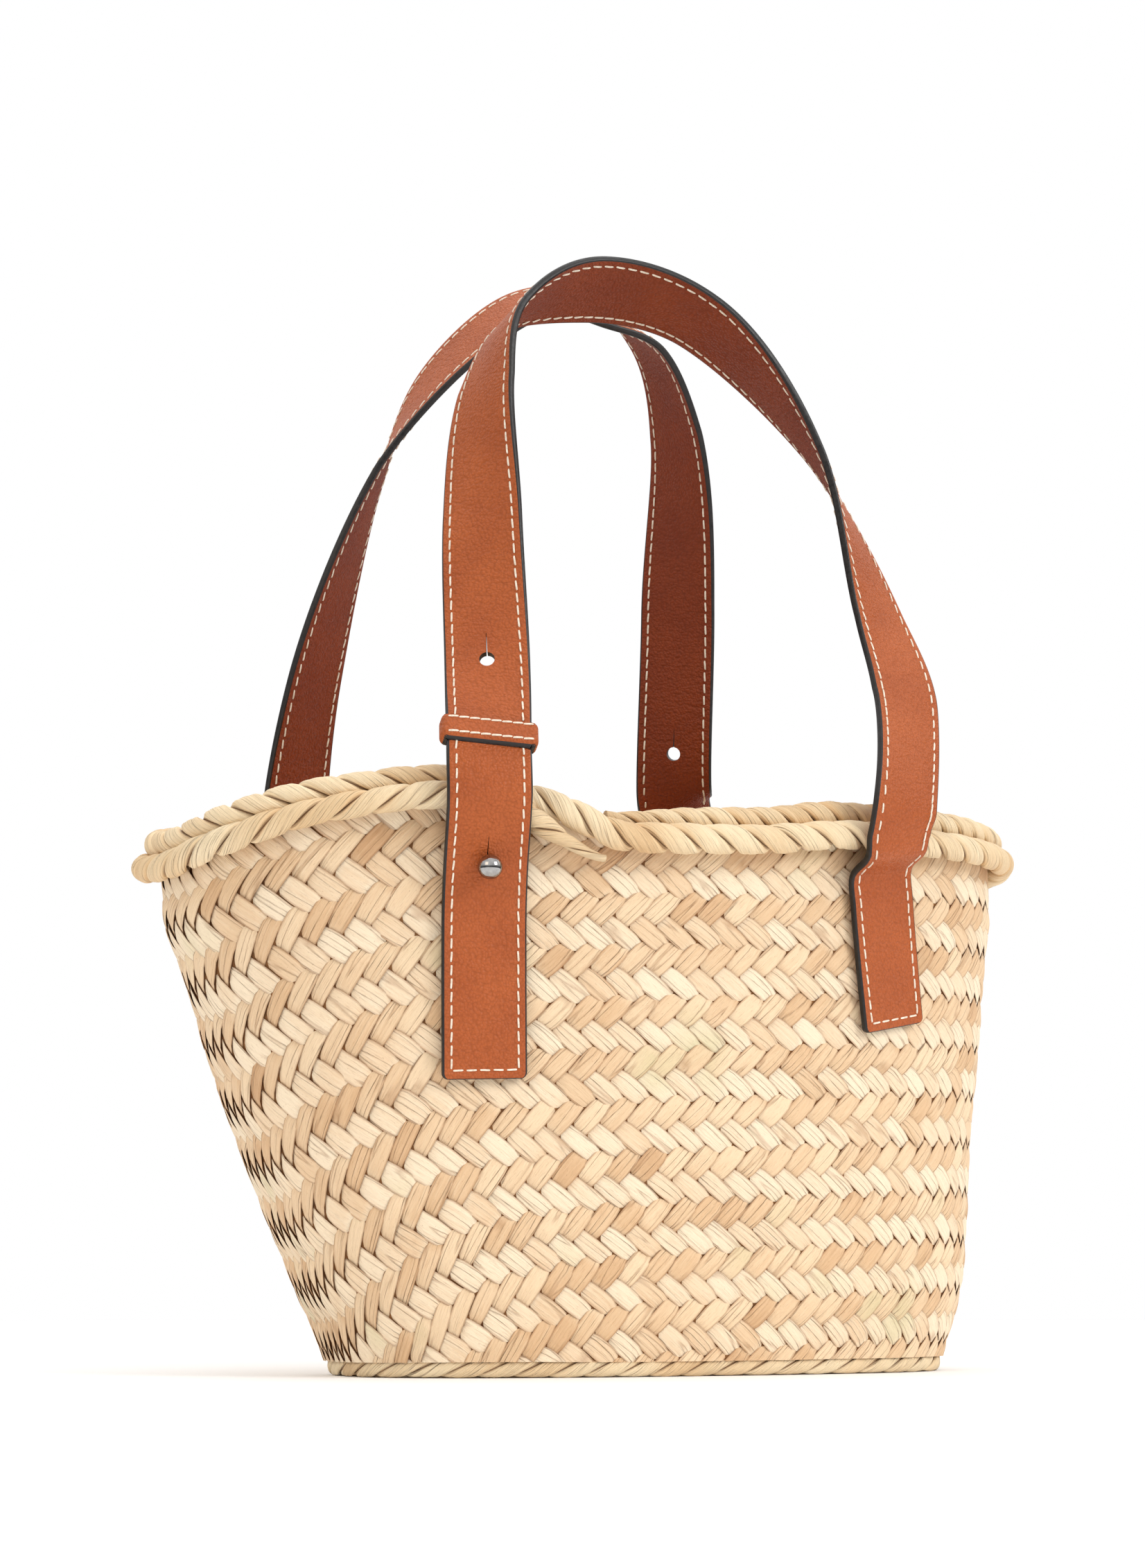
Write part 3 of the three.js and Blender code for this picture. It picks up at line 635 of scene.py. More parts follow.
@dataclass
class Plait:
    """The plaited wall and floor: two families of leaf strands, each over two and under two."""

    wall: Wall
    strands: int = 78
    pair: float = 20.6
    leaf: float = 0.28
    swing: float = 0.96
    width: float = 1.06
    taper: float = 0.1
    shingle: float = 0.24
    sides: int = 6
    lowest: int = -6
    highest: int = 58
    floor_strands: int = 52
    floor_pitch: float = 10.2
    floor_inset: float = 4.6
    floor_height: float = 1.6
    trims: tuple = (0.028, 1.003)
    spare: int = 60
    seed: int = 11

    FLAT = np.array([1000.0, 200.0, 1.0])
    STATIONS = (-1.0, -0.72, -0.42, 0.0, 0.42, 0.72)

    def stations(self) -> Array:
        """Places along a strand, in crossings, closer together where it dives."""
        starts = np.arange(self.lowest, self.highest, 2)
        return np.concatenate([start + 1.5 + np.array(self.STATIONS) for start in starts])

    def noise(self, rng: np.random.Generator, places: Array, copy: Array, size: float) -> Array:
        """Random values that hold over each float and change where the strand dives."""
        values = rng.uniform(-size, size, (self.strands + self.spare, self.highest - self.lowest + 8))
        step = (places - self.lowest - 0.5) / 2 + 1
        whole = np.floor(step).astype(int)
        ease = smooth((step - whole - 0.3) / 0.4)
        return values[copy, whole] * (1 - ease) + values[copy, whole + 1] * ease

    def flat(self, lean: Lean, name: str, copies: int) -> tuple[bpy.types.Object, dict]:
        """One family of strands before it is laid on a surface.

        Args:
            lean: The family.
            name: Name of the piece.
            copies: How many strands.

        Returns:
            The piece and its places: both lattice numbers, height, along, across and copy.
        """
        along = self.stations()
        piece = tube_blank(name, self.sides, len(along), copies)
        copy, station, side = blank_places(piece, self.sides)
        rng = np.random.default_rng(self.seed + lean.value)
        place = along[station]
        section = [(-1, 0), (-0.6, 1), (0.6, 1), (1, 0), (0.6, -1), (-0.6, -1)]
        across = np.array([a for a, _ in section])[side]
        skin = np.array([h for _, h in section])[side]
        middle = 0.5 if lean is Lean.FALLING else 2.5
        wave = np.cos(math.pi * (place - middle) / 2)
        wave = wave * math.sqrt(1.13) / np.sqrt(wave**2 + 0.13)
        from_middle = 1 - np.abs(np.mod(place - 0.5, 2) - 1)
        lens = 1 - self.taper * from_middle**2
        half = self.width / 2 * (lens + self.noise(rng, place, copy, 0.06))
        drift = self.noise(rng, place, copy, 0.045)
        tilt = self.shingle + self.noise(rng, place, copy, 0.2)
        height = self.swing * wave + skin * self.leaf + across * tilt
        offset = across * half + drift
        if lean is Lean.FALLING:
            first, second = copy + offset, copy - place
        else:
            first, second = copy + place, copy + offset
        tone = rng.uniform(0, 1, self.strands + self.spare)[copy] * 0.3 + 0.36
        tone = tone + self.noise(rng, place, copy, 0.22)
        return piece, {"first": first, "second": second, "height": height, "along": place,
                       "across": across, "copy": copy, "tone": tone}

    def dress(self, piece: bpy.types.Object, places: dict, finish: bpy.types.Material, tone: float) -> None:
        """Gives a family its strand map, its tones and its finish."""
        surface_map(piece, places["along"] * 0.76, places["across"] * 0.39 + places["copy"] * 3.7)
        point_values(piece, "tone", places["tone"] + tone)
        # The rim value marks a strand's long edges, where the straw paints a brown edge and shade.
        point_values(piece, "rim", np.abs(places["across"]))
        piece.data.materials.append(finish)

    def on_wall(self, piece: bpy.types.Object, places: dict) -> None:
        """Lays a family on the wall and trims it at the mouth and the foot.

        Args:
            piece: The flat strands.
            places: Their places, as flat returns them.
        """
        share = (places["first"] + places["second"]) / (2 * self.strands)
        rise = (places["first"] - places["second"]) * self.pair / 4
        level = np.clip(rise / self.wall.height, 0, 1)
        angle = self.wall.angle_of_share(share, np.ones_like(share))
        for _ in range(3):
            low = read_round(PLAIT_FLOW, "foot", angle)
            high = read_round(PLAIT_FLOW, "mouth", angle)
            up = (rise + low * (1 - level) + high * level) / self.wall.top(angle)
            angle = self.wall.angle_of_share(share, up)
        place_points(piece, np.stack([share, up, places["height"]], axis=-1) * self.FLAT)
        low, high = (trim * self.FLAT[1] for trim in self.trims)
        with editing(piece):
            bpy.ops.mesh.bisect(plane_co=(0, high, 0), plane_no=(0, 1, 0), clear_outer=True)
            bpy.ops.mesh.select_all(action="SELECT")
            bpy.ops.mesh.bisect(plane_co=(0, low, 0), plane_no=(0, 1, 0), clear_inner=True)
            bpy.ops.mesh.select_all(action="SELECT")
            bpy.ops.mesh.fill_holes(sides=24)
        share, up, height = (points_of(piece) / self.FLAT).T
        angle = self.wall.angle_of_share(share, up)
        point = self.wall.point(np.minimum(up, 1.0), angle, height - self.wall.thickness / 2)
        place_points(piece, point * MM)
        outward(piece)

    def on_floor(self, piece: bpy.types.Object, places: dict) -> None:
        """Lays a family on the floor, inside the foot's outline."""
        x = (places["first"] + places["second"] - self.strands / 2) * self.floor_pitch / 2
        y = (places["first"] - places["second"] - self.floor_strands // 2 + 1) * self.floor_pitch / 2
        angle = np.degrees(np.arctan2(y, x))
        grid = np.linspace(-180, 180, 721)
        edge, _ = self.wall.plan_point(np.zeros_like(grid), grid, -self.floor_inset)
        turn = np.degrees(np.arctan2(edge[:, 1], edge[:, 0]))
        turn[0], turn[-1] = -180, 180
        limit = np.interp(angle, turn, np.hypot(edge[:, 0], edge[:, 1]))
        shrink = np.minimum(1, limit / np.maximum(np.hypot(x, y), 1e-6))
        point = np.stack([x * shrink, y * shrink, places["height"] + self.floor_height], axis=-1)
        place_points(piece, point * MM)
        with editing(piece):
            bpy.ops.mesh.dissolve_degenerate(threshold=0.00004)

    def core(self) -> bpy.types.Object:
        """The thin dark shell in the middle of the plait, which closes its gaps with painted shade."""
        around, rows = 144, 26
        piece = tube_blank("plait_painted_shade_core", around, rows, closed=False)
        points = points_of(piece)
        angle = np.degrees(np.arctan2(points[:, 1], points[:, 0]))
        up = 0.03 + 0.965 * points[:, 2] / (rows - 1)
        place_points(piece, self.wall.point(up, angle, 0.15 - self.wall.thickness / 2) * MM)
        outward(piece)
        modify(piece, "SOLIDIFY", thickness=0.0003, offset=-1)
        return piece

    def build(self) -> list[bpy.types.Object]:
        """The wall's and the floor's plait, and the core between.

        Returns:
            The pieces.
        """
        light = Straw(
            "straw_light", (206, 164, 118), (236, 204, 166), (250, 230, 200), (214, 204, 158)
        )
        tan = Straw(
            "straw_tan", (190, 142, 98), (226, 188, 146), (244, 216, 179), (206, 194, 146)
        )
        pieces = []
        for lean, finish, tone in ((Lean.FALLING, light, 0.06), (Lean.RISING, tan, 0.01)):
            material = finish.make()
            word = lean.name.lower()
            strands, places = self.flat(lean, f"plait_{word}", self.strands)
            self.dress(strands, places, material, tone)
            self.on_wall(strands, places)
            floor, places = self.flat(lean, f"floor_{word}", self.floor_strands)
            self.dress(floor, places, material, tone)
            self.on_floor(floor, places)
            for piece in (strands, floor):
                smooth_shade(piece, 32)
                pieces.append(piece)
        # The core is a dark sheet of painted shade behind the plait's gaps.
        core = self.core()
        core.data.materials.append(PAINTED_GAP_SHADE.make())
        smooth_shade(core, 40)
        pieces.append(core)
        for piece in pieces:
            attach(piece, "root")
            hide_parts("basket_body")
        return pieces


@dataclass
class Rope:
    """The rope on the mouth and the braid round the foot: two twisted plies of folded leaf."""

    wall: Wall
    thickness: float = 12.4
    start: float = -100
    dip: float = 248
    dip_sweep: float = 14
    tip: float = 619
    tip_sweep: float = 12
    sides: int = 32
    step: float = 1.15
    braid_width: float = 4.2
    braid_height: float = 8
    braid_lay: float = 28
    swell: float = 1.03
    squash: float = 0.92
    seed: int = 5

    def at(self, angle: Array) -> tuple[Array, Array, Array]:
        """Middle, outward direction and radius of the rope at angles along its two turns."""
        wall = self.wall
        point, normal = wall.plan_point(np.ones_like(angle), angle, -wall.thickness / 2)
        read = lambda column: self.thickness * read_round(MOUTH, column, angle)
        thickness, drop, upper = read("thick"), read("drop"), read("out")
        lower = upper + np.sqrt((thickness + GAP) ** 2 - drop**2)
        row = smooth((angle - self.dip) / self.dip_sweep)
        tip = smooth((angle - self.tip + self.tip_sweep) / self.tip_sweep)
        start = smooth((angle - self.start) / self.tip_sweep)
        radius = thickness / 2 * (1 - 0.7 * tip) * (0.45 + 0.55 * start)
        out = upper + (lower - upper) * np.sin(row * math.pi / 2)
        before, _ = wall.plan_point(np.ones_like(angle), angle - 1, 0)
        after, _ = wall.plan_point(np.ones_like(angle), angle + 1, 0)
        run = np.linalg.norm(after - before, axis=-1)
        slope = (wall.top(angle + 1) - wall.top(angle - 1)) / run
        seat = wall.top(angle) + GAP + thickness / 2 * np.hypot(1, slope)
        middle = point + normal * out[..., None]
        middle[..., 2] = seat - drop * (1 - np.cos(row * math.pi / 2)) - 0.78 * self.thickness * tip
        return middle, normal, radius

    def section(self, plies: int) -> Array:
        """The rope's outline as shares of its radius: deep creases between plies, faint ones within."""
        turn = np.arange(self.sides) / self.sides
        near = np.abs(np.mod(turn * plies + 0.5, 1) - 0.5) * 2
        fold = np.abs(np.mod(turn * plies * 3 + 0.5, 1) - 0.5) * 2
        crease = 0.36 * np.exp(-((near / 0.19) ** 2)) + 0.12 * (1 - near) ** 2
        return 1.06 - crease - 0.03 * np.exp(-((fold / 0.4) ** 2))

    def lay_up(
        self, name: str, middle: Array, out: Array, rings: Array, turns: Array, closed: bool
    ) -> bpy.types.Object:
        """Makes a twisted rope along a line.

        Args:
            name: Name of the piece.
            middle: Points of its line.
            out: Outward directions at the points.
            rings: Half width and half height at the points.
            turns: Turns of the plies up to each point.
            closed: Whether its end meets its start.

        Returns:
            The piece.
        """
        count = len(middle)
        piece = tube_blank(name, self.sides, count)
        _, station, side = blank_places(piece, self.sides)
        along = unit(np.gradient(middle, axis=0))
        if closed:
            ends = unit(middle[1] - middle[-2])
            along[0], along[-1] = ends, ends
        up = unit(np.cross(out, along))
        out = np.cross(along, up)
        turn = 2 * math.pi * (side / self.sides + turns[station])
        rng = np.random.default_rng(self.seed)
        lumps = slow_noise(rng, np.arange(count), np.arange(0, count + 12, 9), 0.95, 1.03)
        share = self.section(2)[side] * lumps[station]
        width = rings[station] * share[:, None]
        point = middle[station] + out[station] * (width[:, 0] * np.cos(turn))[:, None]
        point = point + up[station] * (width[:, 1] * np.sin(turn))[:, None]
        place_points(piece, point * MM)
        run = run_along(middle)
        lift = np.minimum(side, self.sides - side)
        surface_map(piece, run[station] * 0.1, lift * 0.19)
        tones = slow_noise(rng, run, np.arange(0, run[-1] + 60, 30), 0.3, 0.75)
        ply = np.where(np.mod(side, self.sides) < self.sides / 2, 0.05, -0.05)
        point_values(piece, "tone", tones[station] + ply)
        # The rim value peaks in the creases between the plies, which the straw darkens as painted shade.
        near = np.abs(np.mod(side / self.sides * 2 + 0.5, 1) - 0.5) * 2
        point_values(piece, "rim", 1.0 - near)
        outward(piece)
        return piece

    def rim(self) -> bpy.types.Object:
        """The rope round the mouth."""
        fine = np.linspace(self.start, self.tip, 6000)
        middle, _, _ = self.at(fine)
        run = run_along(middle)
        angle = np.interp(np.arange(0, run[-1], self.step), run, fine)
        middle, normal, radius = self.at(angle)
        turns = np.cumsum(read_table(ROPE_LAY, "angle", "turns", angle)) * self.step
        rings = np.stack([radius, radius], axis=1) * self.swell
        return self.lay_up("rope_of_the_mouth", middle, normal, rings, turns, False)

    def foot(self) -> bpy.types.Object:
        """The braid round the foot."""
        grid = np.linspace(-180, 180, 1441)
        zero = np.zeros_like(grid)
        middle, normal = self.wall.plan_point(zero, grid, -self.braid_width / 2)
        run = run_along(middle)
        count = int(run[-1] / self.step)
        angle = np.interp(np.linspace(0, run[-1], count), run, grid)
        zero = np.zeros_like(angle)
        middle, normal = self.wall.plan_point(zero, angle, -self.braid_width / 2)
        middle[:, 2] = self.braid_height / 2
        whole = round(run[-1] / self.braid_lay)
        turns = np.linspace(0, 1, count) * whole
        rings = np.tile([self.braid_width / 2, self.braid_height / 2 * self.squash], (count, 1))
        return self.lay_up("braid_of_the_foot", middle, normal, rings, turns, True)

    def build(self) -> list[bpy.types.Object]:
        """The rope and the braid, dressed."""
        # The rope's edge colour is the dark painted shade of its creases.
        straw = Straw("straw_rope", (206, 158, 108), (238, 204, 158), (252, 230, 192), (214, 198, 150),
                      edge=(110, 64, 28), edge_shade_share=0.95, edge_shade_from=0.84, fibre_scale=7.0)
        material = straw.make()
        pieces = []
        for piece, node in ((self.rim(), "rim_rope"), (self.foot(), "base_braid")):
            piece.data.materials.append(material)
            smooth_shade(piece, 60)
            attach(piece, "root")
            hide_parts(node)
            pieces.append(piece)
        return pieces


# Handles


FACES = (Matrix.Identity(4), Matrix.Rotation(math.pi, 4, "Y"))


@dataclass
class StrapLine:
    """A smooth line through stations, with the strap's directions along it."""

    points: Array
    inward: Array
    rolls: Array
    divisions: int = 800

    def curve(self, t: Array) -> Array:
        """Points of the curve at shares of its stations."""
        points, count = self.points, len(self.points)
        place = np.clip(t, 0, 1) * (count - 1)
        i = np.minimum(place.astype(int), count - 2)
        weight = (place - i)[:, None]
        padded = np.concatenate([[2 * points[0] - points[1]], points, [2 * points[-1] - points[-2]]])
        p0, p1, p2, p3 = (padded[i + k] for k in range(4))
        gap = lambda a, b: np.sum((a - b) ** 2, axis=1, keepdims=True) ** 0.25
        d0, d1, d2 = gap(p0, p1), gap(p1, p2), gap(p2, p3)
        t1 = ((p1 - p0) / d0 - (p2 - p0) / (d0 + d1) + (p2 - p1) / d1) * d1
        t2 = ((p2 - p1) / d1 - (p3 - p1) / (d1 + d2) + (p3 - p2) / d2) * d1
        c2 = -3 * p1 + 3 * p2 - 2 * t1 - t2
        c3 = 2 * p1 - 2 * p2 + t1 + t2
        return p1 + t1 * weight + c2 * weight**2 + c3 * weight**3

    def lengths(self) -> tuple[Array, Array]:
        """Stations' shares and the length up to each."""
        t = np.linspace(0, 1, self.divisions + 1)
        return t, run_along(self.curve(t))

    @property
    def length(self) -> float:
        """The line's whole length."""
        return float(self.lengths()[1][-1])

    def frames(self, share: Array) -> tuple[Array, Array, Array, Array]:
        """Point, direction along, direction of the width and direction of the face at shares."""
        grid, run = self.lengths()
        t = np.interp(np.asarray(share, float) * run[-1], run, grid)
        along = unit(self.curve(np.minimum(t + 1e-4, 1)) - self.curve(np.maximum(t - 1e-4, 0)))
        count = len(self.rolls)
        ways = {"at": range(count), "x": self.inward[:, 0], "y": self.inward[:, 1], "roll": self.rolls}
        x, y, roll = (read_table(ways, "at", key, t * (count - 1)) for key in ("x", "y", "roll"))
        level = unit(np.cross(np.stack([x, y, 0 * x], axis=1), along))
        width = level * np.cos(roll)[:, None] + np.cross(along, level) * np.sin(roll)[:, None]
        return self.curve(t), along, width, np.cross(width, along)


@dataclass(frozen=True)
class Stitching:
    """Rows of stitches of one waxed thread."""

    thread: float = 0.8
    length: float = 3.9

    def model(self, finish: bpy.types.Material) -> bpy.types.Object:
        """One stitch along Y at the origin: a short rounded thread whose ends dip into the leather."""
        deselect()
        radius, length = self.thread / 2 * MM, self.length * MM
        turn = (math.pi / 2, 0, 0)
        bpy.ops.mesh.primitive_cylinder_add(vertices=6, radius=radius, depth=length, rotation=turn)
        piece = bpy.context.object
        settle(piece)
        with editing(piece):
            for place in (-0.36, 0.0, 0.36):
                bpy.ops.mesh.select_all(action="SELECT")
                bpy.ops.mesh.bisect(plane_co=(0, place * length, 0), plane_no=(0, 1, 0))
        points = points_of(piece)
        far = np.abs(points[:, 1]) / (length / 2)
        points[:, 2] = points[:, 2] * 0.8 + (0.16 - 0.5 * np.maximum(far - 0.6, 0)) * MM
        points[:, 0] = points[:, 0] * np.where(far > 0.9, 0.7, 1.0)
        place_points(piece, points)
        piece.data.materials.append(finish)
        return piece

    def rows(self, name: str, places: list[Matrix], finish: bpy.types.Material) -> bpy.types.Object:
        """Copies of one stitch at each place, joined."""
        model = self.model(finish)
        base = points_of(model)
        polygons = [list(p.vertices) for p in model.data.polygons]
        count = len(base)
        homogeneous = np.concatenate([base, np.ones((count, 1))], axis=1)
        points = np.concatenate([homogeneous @ np.array(place).T[:, :3] for place in places])
        faces = [[v + k * count for v in face] for k in range(len(places)) for face in polygons]
        mesh = bpy.data.meshes.new(name)
        mesh.from_pydata(points.tolist(), [], faces)
        mesh.materials.append(finish)
        bpy.data.objects.remove(model)
        piece = bpy.data.objects.new(name, mesh)
        bpy.context.scene.collection.objects.link(piece)
        outward(piece)
        smooth_shade(piece, 50)
        return piece


@dataclass(frozen=True)
class Keeper:
    """The stitched loop round the buttoned leg."""

    height: float = 11
    wall: float = 2
    slack: float = 0.7
    bend: float = 2.6
    inset: float = 2.1
    stitches: int = 8
    slant: float = 0.09

    def build(
        self, name: str, width: float, thickness: float, basis: Matrix, finishes: list
    ) -> tuple[bpy.types.Object, list[Matrix]]:
        """Makes the loop and finds the places of its stitches.

        Args:
            name: Name of the piece.
            width: The strap's width.
            thickness: The strap's thickness.
            basis: Where the strap is at the loop's middle.
            finishes: Leather and paint.

        Returns:
            The loop and the places of its stitches.
        """
        w = width / 2 + GAP + self.wall
        t = thickness / 2 + GAP + self.slack + self.wall
        deselect()
        bpy.ops.mesh.primitive_cube_add(size=1)
        piece = bpy.context.object
        piece.name = name
        piece.scale = (2 * w, self.height, 2 * t)
        settle(piece)
        bpy.ops.object.mode_set(mode="EDIT")
        bpy.ops.mesh.select_all(action="DESELECT")
        bpy.ops.object.mode_set(mode="OBJECT")
        for edge in piece.data.edges:
            a, b = (piece.data.vertices[v].co for v in edge.vertices)
            edge.select = abs(a.y - b.y) > 1
        bpy.ops.object.mode_set(mode="EDIT")
        bpy.ops.mesh.bevel(offset=self.bend, segments=6, profile=0.5)
        bpy.ops.mesh.select_all(action="DESELECT")
        bpy.ops.object.mode_set(mode="OBJECT")
        for polygon in piece.data.polygons:
            polygon.select = abs(polygon.normal.y) > 0.9
        bpy.ops.object.mode_set(mode="EDIT")
        bpy.ops.mesh.select_mode(type="FACE")
        bpy.ops.mesh.inset(thickness=self.wall, use_even_offset=True)
        bpy.ops.mesh.bridge_edge_loops()
        bpy.ops.mesh.select_mode(type="EDGE")
        bpy.ops.object.mode_set(mode="OBJECT")
        modify(piece, "BEVEL", width=0.45, segments=3, limit_method="ANGLE", angle_limit=math.radians(50))
        for finish in finishes:
            piece.data.materials.append(finish)
        rim = self.height / 2 - 0.5
        for polygon in piece.data.polygons:
            x, y, z = (abs(value) for value in polygon.center)
            inner = x < w - self.wall + 0.2 and z < t - self.wall + 0.2
            polygon.material_index = 1 if y > rim or inner else 0
        piece.data.transform(Matrix.Scale(MM, 4))
        piece.data.transform(basis)
        places = []
        count = self.stitches
        half, y = w - self.wall - 0.2, self.height / 2 - self.inset
        turn = Matrix.Rotation(math.pi / 2 + self.slant, 4, "Z")
        for flip in FACES:
            for row in (-1, 1):
                for k in range(count):
                    x = -half + (k + 0.5) * 2 * half / count
                    shift = Matrix.Translation((x * MM, row * y * MM, (t - 0.02) * MM))
                    places.append(basis @ flip @ shift @ turn)
        return piece, places


@dataclass(frozen=True)
class BallStud:
    """The ball stud: a disc behind the strap, a neck through it, and the ball in front."""

    ball: float = 9.6
    neck: float = 4.6
    disc: float = 12
    disc_thickness: float = 1.5
    play: float = 0.9

    def build(
        self, name: str, thickness: float, basis: Matrix, finish: bpy.types.Material
    ) -> bpy.types.Object:
        """Turns the stud's outline round its axis.

        Args:
            name: Name of the piece.
            thickness: The strap's thickness.
            basis: Where the strap is at the stud.
            finish: Its steel.

        Returns:
            The piece.
        """
        back = thickness / 2 + self.play
        radius, neck = self.ball / 2, self.neck / 2
        middle = back + math.sqrt(radius**2 - neck**2)
        rim = self.disc / 2
        profile = [(0, -back - self.disc_thickness), (rim - 0.4, -back - self.disc_thickness),
                   (rim, -back - self.disc_thickness + 0.4), (rim, -back - 0.4), (rim - 0.4, -back),
                   (neck + 0.3, -back), (neck, -back + 0.3), (neck, back - 0.2), (neck + 0.15, back)]
        first = math.asin(neck / radius)
        profile += [(radius * math.sin(first + (math.pi - first) * k / 24) if k < 24 else 0.0,
                     middle - radius * math.cos(first + (math.pi - first) * k / 24)) for k in range(1, 25)]
        deselect()
        bpy.ops.mesh.primitive_plane_add(size=1)
        piece = bpy.context.object
        piece.name = name
        mesh = bpy.data.meshes.new(piece.name)
        edges = [(k, k + 1) for k in range(len(profile) - 1)]
        mesh.from_pydata([(r * MM, 0, z * MM) for r, z in profile], edges, [])
        piece.data = mesh
        with editing(piece):
            bpy.ops.mesh.spin(steps=48, angle=2 * math.pi, center=(0, 0, 0), axis=(0, 0, 1))
            bpy.ops.mesh.select_all(action="SELECT")
            bpy.ops.mesh.remove_doubles(threshold=0.000005)
            bpy.ops.mesh.normals_make_consistent(inside=False)
        piece.data.transform(basis)
        piece.data.materials.append(finish)
        smooth_shade(piece, 40)
        return piece


@dataclass
class Handle:
    """One leather handle with its keeper, its ball stud and its stitching."""

    wall: Wall
    rope: Rope
    side: Side
    arch: dict
    finishes: Finishes
    stitching: Stitching = Stitching()
    keeper: Keeper = Keeper()
    stud: BallStud = BallStud()
    width: float = 33.2
    thickness: float = 3
    buttoned_top_x: float = -108.3
    buttoned_tail_x: float = -103
    buttoned_tail_drop: float = 109.5
    sewn_top_x: float = 65.5
    sewn_tail_x: float = 77.3
    sewn_tail_drop: float = 85.5
    sewn_knee: float = 62
    sewn_knee_out: float = 3.6
    sewn_rope_seat: float = 2.8
    sewn_start: tuple = (2.3, 4.3)
    buttoned_start: tuple = (12.5, 0.0)
    arch_rise: float = 200
    arch_lean: float = 58
    arch_turn: float = 111
    tail_seat: float = 2.1
    buttoned_rope_seat: float = 3.7
    middle_x: float = -16.4
    hole: float = 6
    slit_length: float = 9
    slit_width: float = 0.48
    slit_overlap: float = 0.8
    slit_end: float = 0.35
    cut_depth: float = 14
    stud_to_hole: float = 87
    front_keeper_above_stud: float = 52
    back_keeper_above_stud: float = 31
    stud_above_tail: float = 82
    stand_off: float = 2.5
    stitch_pitch: float = 5.1
    stitch_inset: float = 3.5
    tail_pitch: float = 4.4
    corner: float = 2.4
    stations: int = 420

    @property
    def end(self) -> str:
        """The word for this handle's side."""
        return self.side.name.lower()

    def on_wall(self, x: float, z: float, out: float) -> tuple[Array, Array]:
        """A point outside the wall at an X and a height, and the direction outwards."""
        wall, side = self.wall, self.side.value
        top = float(wall.top(wall.angle_at_x(1, x, side)))
        angle = wall.angle_at_x(z / top, x, side)
        point, normal = wall.plan_point(z / top, angle, out)
        point[2] = z
        return point, normal

    def leg(self, top_x: float, tail_x: float, tail_z: float, knee: tuple, rope_seat: float,
            start: tuple) -> list:
        """Stations of one leg, from its tail up round the lower rope to where the arch starts.

        Args:
            top_x: X where it crosses the ropes.
            tail_x: X of its tail.
            tail_z: Height of its tail.
            knee: How far above the tail it starts to leave the wall, and how far out it is there.
            rope_seat: Room between the lower rope and the strap.
            start: How far above the wall's highest edge the arch starts, and how much further out.

        Returns:
            Points and the wall's outward directions.
        """
        if self.side is Side.BACK:
            top_x, tail_x = 2 * self.middle_x - top_x, 2 * self.middle_x - tail_x
        rope = self.rope
        angle = self.wall.angle_at_x(1, top_x, self.side.value)
        second = 720 if angle < rope.dip + rope.dip_sweep - 360 else 360
        middle, _, radius = (value[0] for value in rope.at(np.array([angle + second])))
        seat = float(np.linalg.norm(middle - self.on_wall(top_x, middle[2], 0)[0]))
        clear = radius + rope_seat + self.thickness / 2
        knee_z = tail_z + knee[0]
        seats = [
            (tail_z, self.tail_seat),
            (tail_z + 0.5 * knee[0], self.tail_seat),
            (tail_z + 0.8 * knee[0], self.tail_seat + (knee[1] - self.tail_seat) * 0.2),
            (knee_z, knee[1]),
            (middle[2] - 0.7 * clear, seat + 0.72 * clear),
            (middle[2], seat + clear),
            (self.wall.height + start[0], seat + clear + start[1]),
        ]
        stations = []
        for z, out in seats:
            share = min((z - tail_z) / (middle[2] - tail_z), 1)
            stations.append(self.on_wall(tail_x + (top_x - tail_x) * share, z, out))
        return stations

    def line(self) -> StrapLine:
        """The strap's line from the buttoned tail over the arch to the sewn tail."""
        side, height = self.side.value, self.wall.height
        knee_out = self.stud.disc_thickness + self.thickness / 2 + 2 * GAP + self.stand_off
        buttoned = self.leg(self.buttoned_top_x, self.buttoned_tail_x, height - self.buttoned_tail_drop,
                            (self.stud_above_tail, knee_out), self.buttoned_rope_seat, self.buttoned_start)
        sewn = self.leg(self.sewn_top_x, self.sewn_tail_x, height - self.sewn_tail_drop,
                        (self.sewn_knee, self.sewn_knee_out), self.sewn_rope_seat, self.sewn_start)[::-1]
        points = [point for point, _ in buttoned]
        inward = [-normal for _, normal in buttoned]
        rolls = [0.0] * len(buttoned)
        (start, start_normal), (end, end_normal) = buttoned[-1], sewn[0]
        for across, up, lean, turn in zip(*(self.arch[key] for key in ("across", "up", "lean", "turn"))):
            share = min(max(across, 0), 1)
            bow = np.array([0, -side * self.arch_lean * lean, self.arch_rise * up])
            points.append(start + (end - start) * across + bow)
            inward.append(-start_normal * (1 - share) - end_normal * share)
            rolls.append(-math.radians(self.arch_turn) * turn)
        points += [point for point, _ in sewn]
        inward += [-normal for _, normal in sewn]
        rolls += [0.0] * len(sewn)
        return StrapLine(np.array(points), np.array(inward), np.array(rolls))

    def outline(self) -> tuple[Array, Array]:
        """The strap's section, round from the front's left, and where it is painted.

        Returns:
            Points as across and out, and for each point whether the face after it is paint.
        """
        w, t = self.width / 2, self.thickness / 2
        inset = self.stitch_inset
        front = [(-w + 0.8, t - 0.03), (-w + 1.6, t), (-w + inset - 0.7, t - 0.02), (-w + inset, t - 0.16),
                 (-w + inset + 0.8, t - 0.02), (-w * 0.55, t + 0.05), (-w * 0.2, t + 0.08)]
        front = front + [(-a, h) for a, h in front[::-1]]
        edge = [(w - 0.3, t - 0.3), (w, t - 0.9), (w - 0.12, 0.0), (w, 0.9 - t), (w - 0.3, 0.3 - t)]
        half = front + edge
        points = half + [(-a, -h) for a, h in half]
        count = len(half)
        paint = [i % count >= len(front) - 1 for i in range(2 * count)]
        return np.array(points), np.array(paint)

